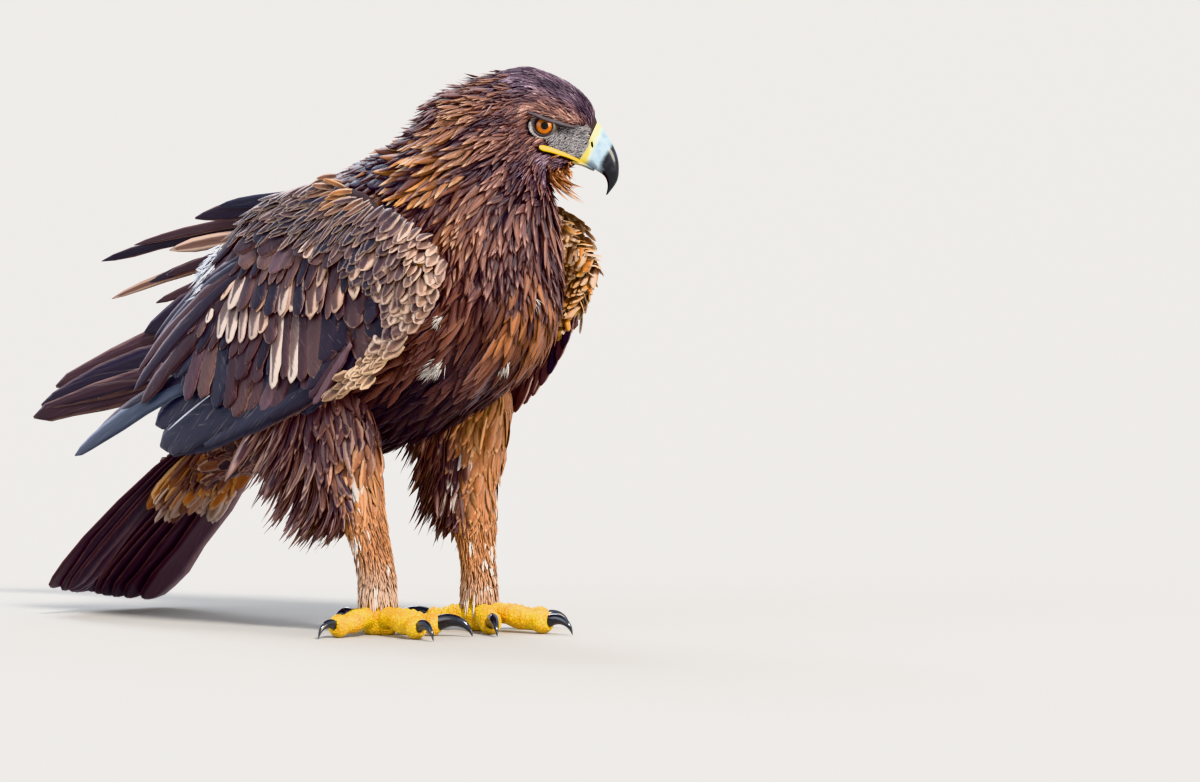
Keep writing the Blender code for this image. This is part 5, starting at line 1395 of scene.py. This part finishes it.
    # the wing's front edge and underside: golden and white scales in front, rufous brown behind
    def under_wing(a, b):
        """The ball of the wing's flesh: a from its top to its foot, b from its front inwards."""
        round_it = np.asarray(b, float) * lean
        level, rise = np.tanh(1.6 * np.cos(a)) / 0.922, np.tanh(1.6 * np.sin(a)) / 0.922
        reach = np.where(rise < 0, 0.46, 0.6) if side == "left" else 0.4
        p, q = 0.5 - 0.47 * level * np.cos(round_it), 0.42 + reach * rise
        deep = 0.5 + 0.5 * level * np.sin(round_it)
        thick = (6 + 30 * np.clip(1 - q, 0, 1) ** 1.4) * (1 - 0.5 * np.maximum(p - 0.5, 0) / 0.5)
        n = facing(wing_face, p, q)[2]
        n = np.where(n[..., 1:2] < 0, n, -n)
        return (wing_face(p, q) - n * (4 + thick * deep)[..., None]) * SIDES[side]

    def under_gap(a, b):
        return np.interp(np.abs(b), (0, 0.8, 1.4), (4.6, 5.4, 8.0))

    roots = scattered(under_wing, (-1.05, 1.05), sorted((-0.75 * lean, 2.1 * lean)), under_gap, draw)
    n = len(roots[0])
    inward = np.clip(roots[1] * lean, 0, 2)
    long = np.interp(inward, (0, 0.8, 1.4), (13, 17, 26)) * draw.uniform(0.8, 1.2, n)
    width = np.interp(inward, (0, 0.8, 1.4), (7.0, 8.4, 13)) * draw.uniform(0.8, 1.2, n)
    proud = (6.0 if side == "left" else 0.5) * np.clip(1.6 - inward, 0, 1)
    along_a, _, normal = facing(under_wing, *roots)
    along_a = unit(along_a)
    wanted = blend(np.clip(inward - 0.9, 0, 1), (-0.3, 0.0, -1.0), (-1.0, 0.0, -0.6))
    heading = np.arctan2((np.cross(normal, along_a) * wanted).sum(1), (along_a * wanted).sum(1))
    front = np.clip(1.35 - inward, 0, 1)
    roll, light = draw.random(n), draw.random(n)
    tint = blend(roll, (0.055, 0.022, 0.022), (0.22, 0.085, 0.045))
    gilt = blend(roll, (0.58, 0.17, 0.022), (0.95, 0.44, 0.09))
    outer = np.clip(0.75 - np.abs(inward - 0.15), 0, 1) * (draw.random(n) < 0.6)
    tint = blend(front, tint, blend(outer, gilt, (0.86, 0.68, 0.56)))
    edge = blend(light, (0.24, 0.11, 0.07), (0.50, 0.26, 0.15))
    edge = blend(front, edge, blend(light, (0.88, 0.44, 0.14), (0.98, 0.84, 0.64)))
    foot = np.clip((308 - under_wing(*roots)[:, 2]) / 26, 0, 1) * 0.85
    tint, edge = blend(foot, tint, (0.045, 0.020, 0.022)), blend(foot * 0.6, edge, (0.46, 0.26, 0.18))
    edge = np.concatenate([edge, np.full((n, 1), 0.9)], 1)
    scales = strewn(
        f"coat_wing_front_{side}", under_wing, roots, None, long, width, proud + draw.uniform(0.6, 2.6, n), OVAL, tint,
        edge, draw, heading=heading, depth=1.5 + proud, section=THIN, thick=0.6, camber=0.2,
    )
    dress(scales, plumage(f"wing_front_feather_{side}", 0.55, 0.8, root=0.35, core=0.2, grain=0.7))

# The tail
# Twelve stiff tail feathers overlap in a fan, dark brown with ruddy streaks, and soft longer
# coverts hide their roots: dusky above, orange, buff and white below.
FAN = (
    (0, 0.35), (0.12, 0.6), (0.3, 0.8), (0.5, 0.92), (0.7, 1.0), (0.84, 1.0), (0.92, 0.9), (0.965, 0.7),
    (0.99, 0.42), (1, 0.15),
)
TAIL_ROOT, TAIL_TIP = np.array((-236.0, 0, 194)), np.array((-440.0, 0, 14))
draw = np.random.default_rng(41)
t = np.array([o[0] for o in FAN])[:, None]
lift = unit(np.cross((0, 1, 0), TAIL_TIP - TAIL_ROOT))
lift = lift if lift[2] > 0 else -lift
aside = np.array((0, math.cos(math.radians(-8)), math.sin(math.radians(-8))))
# how far aside of the middle each pair's feathers stand at their tips; the outermost lie lowest
SPREAD = (4, 12, 20, 29, 43, 64)
lines, tilt = [], []
for pair, off in enumerate(SPREAD):
    for sign in (-1, 1):
        start = TAIL_ROOT + aside * (sign * (4 + 5.6 * pair)) + lift * (5 - 1.5 * pair)
        end = TAIL_TIP + aside * (sign * off) + lift * (6 - 2.2 * pair) + (TAIL_ROOT - TAIL_TIP) * (0.0015 * pair**2)
        bend = lift * (0.012 * 272) + unit(aside) * (sign * 2.4 * pair)
        lines.append(start * (1 - t) + end * t + bend * (4 * t * (1 - t)))
        tilt.append(-0.05 * sign)
lines = np.array(lines)
tint = blend(draw.random(12), (0.018, 0.010, 0.022), (0.058, 0.024, 0.036))
edge = np.broadcast_to((0.30, 0.16, 0.17, 0.8), (12, 4))
normals = np.broadcast_to(lift, lines.shape)
fan = feathers(
    "tail_feathers", lines, normals, np.full(12, 46.0), FAN, tint, edge, lines[:, 0, :2] * 0.002, BROAD, 1.4, 0.08,
    np.array(tilt),
)
dress(fan, plumage("tail_feather", 0.8, 0.96, 0.45, root=0.4, shaft=0.3, grain=0.5))

# long soft coverts under the fan: orange at its root, dusky further down, pale buff at the last
draw = np.random.default_rng(43)
n = 150
begin = draw.uniform(-0.06, 0.27, n)
aside_at = draw.uniform(-1, 1, n) * (30 + 45 * (begin + 0.06))
size = draw.uniform(0.17, 0.27, n)
t = np.array([o[0] for o in OVAL])[None, :]
share = (begin[:, None] + size[:, None] * t)[..., None]
lines = TAIL_ROOT * (1 - share) + TAIL_TIP * share
lines = lines + aside * (aside_at[:, None] * (1 + 0.25 * t) + draw.normal(0, 4, (n, 1)) * t)[..., None]
sunk = np.interp(begin, (-0.06, 0.27), (13, 9)) + draw.uniform(0, 4, n)
lines = lines - lift * (sunk[:, None] * (0.75 + 0.45 * t))[..., None]
roll, light = draw.random(n), draw.random(n)
tint = blend(roll, (0.040, 0.018, 0.022), (0.13, 0.052, 0.040))
orange = np.clip(patchy(begin, aside_at, (0.09, 30.0), draw) * 3.2 - 1.5, 0, 1) * np.clip((0.26 - begin) / 0.08, 0, 1)
tint = blend(orange * 0.9, tint, (0.46, 0.145, 0.024))
cream = np.clip((begin - 0.17) / 0.06, 0, 1) * (roll > 0.35)
tint = blend(cream * 0.8, tint, (0.42, 0.28, 0.23))
rim = blend(light, (0.16, 0.075, 0.060), (0.36, 0.20, 0.15))
rim = blend(orange * 0.9, rim, blend(light, (0.66, 0.28, 0.08), (0.86, 0.52, 0.24)))
rim = blend(cream * 0.9, rim, blend(light, (0.62, 0.44, 0.34), (0.90, 0.78, 0.68)))
edge = np.concatenate([rim, (0.3 + 0.6 * light)[:, None]], 1)
place = np.stack([begin * 200, aside_at], 1)
loose = feathers(
    "coat_under_tail", lines, np.broadcast_to(-lift, lines.shape), draw.uniform(13, 21, n), OVAL, tint, edge, place,
    BROAD, 0.6, 0.2, draw.normal(0, 0.25, n),
)
dress(loose, plumage("under_tail_covert", 0.55, 0.8, root=0.7, grain=0.9, core=0.3, soft=0.4))

# coverts over and under the tail's root
draw = np.random.default_rng(42)
roots = scattered(body, (15.6, 18.7), (-math.pi, math.pi), lambda a, b: 0 * a + 6.6, draw)
s, phi = roots
n = len(s)
x, y, z = body(s, phi).T
under = np.clip(0.4 - np.cos(phi) * 1.6, 0, 1)
long = np.interp(s, (15.6, 18.7), (50, 66)) * draw.uniform(0.75, 1.15, n) * (1 + 0.1 * under)
width = draw.uniform(12, 19, n)
roll, light = draw.random(n), draw.random(n)
tint = blend(roll, (0.030, 0.015, 0.022), (0.11, 0.045, 0.040))
orange = under * np.clip(bell(x, -245, 26) + 0.35 * bell(x, -285, 16) + (roll - 0.6) * 0.8, 0, 1)
tint = blend(orange * 0.85, tint, (0.50, 0.165, 0.030))
cream = under * np.clip((-290 - x) / 14, 0, 1) * (roll > 0.25)
tint = blend(cream * 0.85, tint, (0.66, 0.44, 0.32))
rim = blend(light, (0.20, 0.10, 0.085), (0.44, 0.25, 0.18))
rim = blend(np.clip(orange + cream, 0, 1) * 0.8, rim, blend(light, (0.80, 0.46, 0.22), (0.93, 0.80, 0.68)))
edge = np.concatenate([rim, np.full((n, 1), 0.8)], 1)
rise = draw.uniform(1, 6, n) + 5 * under * draw.random(n)
coverts = strewn(
    "coat_tail_root", body, roots, None, long, width, rise, OVAL, tint, edge, draw, depth=4.0, section=BROAD,
    thick=0.7, camber=0.2, stray=0.16,
)
dress(coverts, plumage("tail_covert", 0.6, 0.84, root=0.6, grain=0.7, core=0.4))

# The legs
# Long loose thigh feathers hang over the shank, dark with paler rims. Below them the shank is
# clad to the toes in short tawny feathers with flecks of white.
def trouser_gap(a, b):
    return np.interp(a, (0, 4, 5), (6.6, 6.2, 5.4))


def shank_gap(a, b):
    return np.interp(a, (4.4, 6, 8), (3.4, 2.7, 2.3))


for word, seed in (("right", 21), ("left", 22)):
    draw = np.random.default_rng(seed)
    face = leg(word)
    near = word == "right"
    s, phi = roots = scattered(face, (0.2, 4.9), (-math.pi, math.pi), trouser_gap, draw)
    n = len(s)
    behind = np.clip(-np.cos(phi) * 1.3 - 0.1, 0, 1)
    ahead = np.clip(np.cos(phi), 0, 1)
    sweep = behind * np.clip((4.9 - s) / 1.5, 0, 1)
    long = np.interp(s, (0, 2, 4, 5), (64, 62, 48, 32)) * (0.66 + (0.95 if near else 0.6) * sweep)
    long = long * draw.uniform(0.7, 1.2, n)
    width = draw.uniform(9, 17, n) * np.interp(s, (0, 3, 5), (1.1, 0.95, 0.6))
    roll, light = draw.random(n), draw.random(n)
    begin = 2.4 if near else 0.2
    warm = np.clip(ahead * np.clip((s - begin) / 1.4, 0, 1) * 1.8 + (roll - 0.7) * 0.8, 0, 1)
    tint = blend(roll, (0.036, 0.016, 0.026), (0.155, 0.072, 0.080))
    tint = blend(warm * 0.85, tint, (0.50, 0.19, 0.065))
    rim = blend(light, (0.22, 0.11, 0.10), (0.50, 0.30, 0.25))
    rim = blend(warm, rim, (0.80, 0.42, 0.20))
    edge = np.concatenate([rim, (0.35 + 0.6 * light)[:, None]], 1)
    for at, reach in (((-19, -72, 155), 9), ((2, 30, 152), 10), ((28, 30, 182), 10), ((18, 24, 168), 6)):
        white = np.linalg.norm(face(s, phi) - np.array(at), axis=1) < reach * draw.uniform(0.7, 1.3, n)
        width[white] *= 0.55
        tint[white], edge[white] = (0.74, 0.62, 0.54), (0.95, 0.90, 0.84, 0.85)
    rise = draw.uniform(0.5, 5, n) + 14 * behind * draw.random(n) ** 2
    thigh = strewn(
        f"coat_thigh_{word}", face, roots, None, long, width, rise, LANCE, tint, edge, draw, depth=4.0, stray=0.2,
        thick=0.5, camber=0.3, pull=stack(-0.16 - (0.62 if near else 0.3) * sweep, 0 * s, -0.04 - 0.1 * sweep), twist=0.3,
    )
    dress(thigh, plumage(f"thigh_feather_{word}", 0.5, 0.72, root=0.8, core=0.35, contrast=0.4))

    # loose plumes and single barbs that stand away behind the thigh
    n = 520 if near else 320
    s, phi = draw.uniform(0.5, 4.4, n), math.pi + draw.normal(0, 0.7, n)
    long = draw.uniform(45, 88, n) * np.interp(s, (0.8, 4.4), (1.25, 0.75) if near else (1.0, 0.7))
    hair = draw.random(n) < 0.55
    width = np.where(hair, draw.uniform(0.9, 1.8, n), draw.uniform(4, 9, n))
    roll, light = draw.random(n), draw.random(n)
    tint = blend(roll, (0.050, 0.022, 0.030), (0.24, 0.12, 0.11))
    edge = np.concatenate([blend(light, (0.30, 0.17, 0.14), (0.66, 0.44, 0.34)), (0.3 + 0.6 * light)[:, None]], 1)
    plumes = strewn(
        f"coat_plumes_{word}", face, (s, phi), None, long, width, draw.uniform(2, 15, n), LANCE, tint, edge, draw,
        depth=3.0, stray=0.28, thick=0.4, camber=0.25, pull=(-0.72 if near else -0.34, 0, -0.08), twist=0.6, bend=1.1,
    )
    dress(plumes, plumage(f"plume_{word}", 0.45, 0.7, root=0.7, core=0.3))

    s, phi = roots = scattered(face, (4.2, 7.95), (-math.pi, math.pi), shank_gap, draw)
    n = len(s)
    roll, light = draw.random(n), draw.random(n)
    long = np.interp(s, (4.3, 6, 7.9), (22, 17, 10)) * draw.uniform(0.75, 1.25, n)
    width = np.interp(s, (4.3, 6, 7.9), (3.8, 3.0, 2.4)) * draw.uniform(0.75, 1.2, n)
    pale = 0.85 if near else 0.55
    tint = blend(roll, (0.27, 0.095, 0.032), (0.56, 0.24, 0.092))
    tint = blend(np.clip((s - 5.8) / 1.8, 0, 1) * pale, tint, (0.64, 0.47, 0.36))
    white = patchy(s, phi, (0.42, 0.5), draw) + draw.normal(0, 0.05, n) > (0.80 if near else 0.83)
    tint[white] = (0.84, 0.74, 0.65)
    rim = blend(light, (0.50, 0.24, 0.10), (0.74, 0.50, 0.33))
    rim[white] = (0.95, 0.92, 0.88)
    edge = np.concatenate([rim, (0.2 + 0.5 * light)[:, None]], 1)
    hem = np.clip((s - 7.0) / 0.7, 0, 1)
    long = long * (1 + hem * draw.uniform(0.2, 1.0, n))
    shank = strewn(
        f"coat_shank_{word}", face, roots, None, long, width, draw.uniform(0.2, 1.6, n), LANCE, tint, edge, draw,
        depth=1.8, stray=0.14, thick=0.35, camber=0.3, sink=0.8, pull=stack(0 * s, 0 * s, -0.25 * hem),
    )
    dress(shank, plumage(f"shank_feather_{word}", 0.5, 0.78, root=0.4, shaft=0.0, contrast=0.3, soft=0.4))

# The feet
# Yellow feet in tough scaly skin: broad overlapping plates along the top of each toe, small
# beads on the joints and padded soles, gripping flat on the floor.
TOES = {
    "right": (("inner", 20, 62, 40), ("middle", -20, 84, 33), ("outer", -88, 66, 27), ("hind", 162, 52, 44)),
    "left": (("inner", -38, 62, 40), ("middle", 4, 84, 33), ("outer", 58, 66, 27), ("hind", -150, 52, 44)),
}
TOE_SHAPE = np.array((
    (0.0, 2.0, 13.0), (0.32, 3.5, 8.8), (0.55, 0.5, 10.4), (0.76, -1.5, 8.7), (0.9, -2.5, 10.8), (1.0, -2.0, 7.2),
))
for word in ("right", "left"):
    x, y, z, half_long, half_wide = LEG_RINGS[word][-1]
    foot = bmesh.new()
    rows = [
        ((x, y, z + 4), (half_long - 2, 0, 0), (0, half_wide - 2, 0)), ((x, y, z - 6), (half_long - 2.5, 0, 0), (0, half_wide - 2.5, 0)),
        ((x, y, z - 12), (half_long - 3, 0, 0), (0, half_wide - 3, 0)), ((x + 2, y, 14), (half_long, 0, 0), (0, half_wide, 0)),
        ((x + 2, y, 4), (half_long - 2, 0, 0), (0, half_wide - 2, 0)), ((x + 2, y, 0.2), (half_long - 5, 0, 0), (0, half_wide - 5, 0)),
    ]
    loft(foot, [tuple(Vector(p) for p in r) for r in rows], 36)
    claws = []
    for name, turn, size, claw in TOES[word]:
        a = math.radians(turn)
        ahead = Vector((math.cos(a), math.sin(a), 0))
        aside = Vector((-math.sin(a), math.cos(a), 0))
        start = Vector((x + 2, y, 13))
        scutes = round(size / 6.2)
        rows, steps = [], scutes * 5
        for k in range(steps + 1):
            u = k / steps
            share, lift, r = through(TOE_SHAPE, 5 * u)
            rows.append((start + ahead * (size * share) + Vector((0, 0, lift)), aside * r, Vector((0, 0, r))))
        loops = loft(foot, rows, 28)
        for k, ((at, one, two), loop) in enumerate(zip(rows, loops)):
            plate = (k % 5) / 5
            for v in loop:
                away = v.co - at
                upward = away.z / two.length
                if upward > 0.15:
                    share = min((upward - 0.15) / 0.3, 1.0)
                    v.co += away.normalized() * (share * (2.3 * (1 - plate) ** 1.2 - 0.9) * (k > 7))
                else:
                    v.co.z = max(v.co.z, 0.25)
        root = start + ahead * (size - 2) + Vector((0, 0, -1))
        claws.append((name, root, ahead, claw))
    skin_piece = joined(f"foot_skin_{word}", foot)
    mesher = skin_piece.modifiers.new("one surface", "REMESH")
    mesher.mode, mesher.voxel_size, mesher.use_smooth_shade = "VOXEL", 0.0010, True
    easing = skin_piece.modifiers.new("eased", "SMOOTH")
    easing.factor, easing.iterations = 0.4, 1
    fitted(skin_piece)
    paint = Paint(f"foot_scales_{word}", 0.42, Coat_Weight=0.15, Coat_Roughness=0.35)
    where = paint.place()
    cells = paint.node("ShaderNodeTexVoronoi", {"feature": "DISTANCE_TO_EDGE"}, {"Vector": where, "Scale": 300.0})
    cloud = paint.noise(where, 60.0, 4.0, 0.7)
    colour = paint.mix(cloud.ramp(0.38, 0.62), (0.78, 0.40, 0.010), (0.92, 0.62, 0.02))
    # The furrows between the scales are darker: partly the skin's own colour, partly painted shade in the furrows
    colour = paint.mix(cells.ramp(0.0, 0.12, 0.5, 0.0), colour, (0.40, 0.17, 0.01))
    # painted shade: the foot is darkened in its lowest 6 mm, where it meets the floor
    height = paint.parts(where)[2]
    colour = paint.mix(height.ramp(0.0, 0.006, 0.45, 0.0), colour, (0.30, 0.17, 0.06))
    dress(skin_piece, paint.finish(colour, None, cells.ramp(0.0, 0.25), 0.0012, 0.7), (f"foot_{word}",))

    # claws: curved, tapering to a sharp point that comes down to the floor
    for name, root, ahead, claw in claws:
        horn = bmesh.new()
        rows, line = [], []
        begin = math.radians(-28)
        for k in range(25):
            t = k / 24
            a = begin + math.radians(112) * t
            out = claw * 0.6 * (math.sin(a) - math.sin(begin))
            rise = claw * 0.6 * (math.cos(a) - math.cos(begin))
            line.append(root + ahead * out + Vector((0, 0, rise)))
        low = line[-1].z
        for k, p in enumerate(line):
            p.z += (0.45 - low) * (k / 24) ** 2
        aside = Vector((0, 0, 1)).cross(ahead)
        for k, p in enumerate(line):
            way = (line[min(k + 1, 24)] - line[max(k - 1, 0)]).normalized()
            r = 6.2 * claw / 40 * (1 - (k / 24) ** 1.5) + 0.25
            rows.append((p, aside * (r * 0.92), aside.cross(way).normalized() * (r * 1.12)))
        loft(horn, rows, 24)
        for v in horn.verts:
            v.co.z = max(v.co.z, 0.15)
        piece = joined(f"talon_{word}_{name}", horn)
        paint = Paint(f"claw_horn_{word}_{name}", 0.16, Coat_Weight=0.6, Coat_Roughness=0.1)
        where = paint.place()
        grain = paint.noise(where, 350.0, 3.0)
        dress(piece, paint.finish(paint.mix(grain, (0.006, 0.007, 0.011), (0.024, 0.026, 0.036)), grain.ramp(0.3, 0.7, 0.1, 0.26), grain, 0.0003, 0.15), (f"claw_{word}_{name}",))

# The stage
# A plain pale floor, broad soft lamps and the camera at the height and turn of the photograph.
floor = bmesh.new()
bmesh.ops.create_circle(floor, cap_ends=True, segments=96, radius=60000)
ground = joined("floor", floor, False)
matt = Paint("floor", 0.9)
ground.data.materials.append(matt.finish((0.42, 0.40, 0.375)))

world = bpy.data.worlds.new("studio")
world.use_nodes = True
world.node_tree.nodes["Background"].inputs[0].default_value = (0.85, 0.91, 1.0, 1)
world.node_tree.nodes["Background"].inputs[1].default_value = 0.95
bpy.context.scene.world = world
turn, lift = math.radians(42), math.radians(3)
right = Vector((math.cos(turn), math.sin(turn), 0))
back = Vector((math.sin(turn) * math.cos(lift), -math.cos(turn) * math.cos(lift), math.sin(lift)))
up = back.cross(right)
middle = right * 0.16625 + up * 0.22895 + Vector(AHEAD) * 0.001
for name, aside, toward, high, spread, power, tone in (
    ("key", 0.5, 1.0, 1.05, 12, 4.4, (1.0, 0.95, 0.88)),
    ("side", 1.3, 0.75, 0.28, 25, 1.9, (1.0, 0.88, 0.72)),
    ("fill", -1.0, 0.7, 0.45, 40, 0.85, (0.86, 0.91, 1.0)),
    ("rim", -0.4, -1.0, 0.9, 30, 1.4, (0.80, 0.88, 1.0)),
):
    data = bpy.data.lights.new(name, "SUN")
    data.angle, data.energy, data.color = math.radians(spread), power, tone
    lamp = bpy.data.objects.new(name, data)
    bpy.context.scene.collection.objects.link(lamp)
    lamp.location = middle + right * aside + back * toward + Vector((0, 0, high))
    lamp.rotation_euler = (middle - lamp.location).to_track_quat("-Z", "Y").to_euler()

data = bpy.data.cameras.new("camera")
data.sensor_width, data.lens = 36.0, 378.9
data.clip_end = 200.0
camera = bpy.data.objects.new("camera", data)
bpy.context.scene.collection.objects.link(camera)
camera.location = middle + back * 12.0
camera.rotation_euler = (-back).to_track_quat("-Z", "Y").to_euler()
bpy.context.scene.camera = camera
bpy.context.scene.view_settings.view_transform = "Khronos PBR Neutral"
bpy.context.scene.view_settings.look = "None"
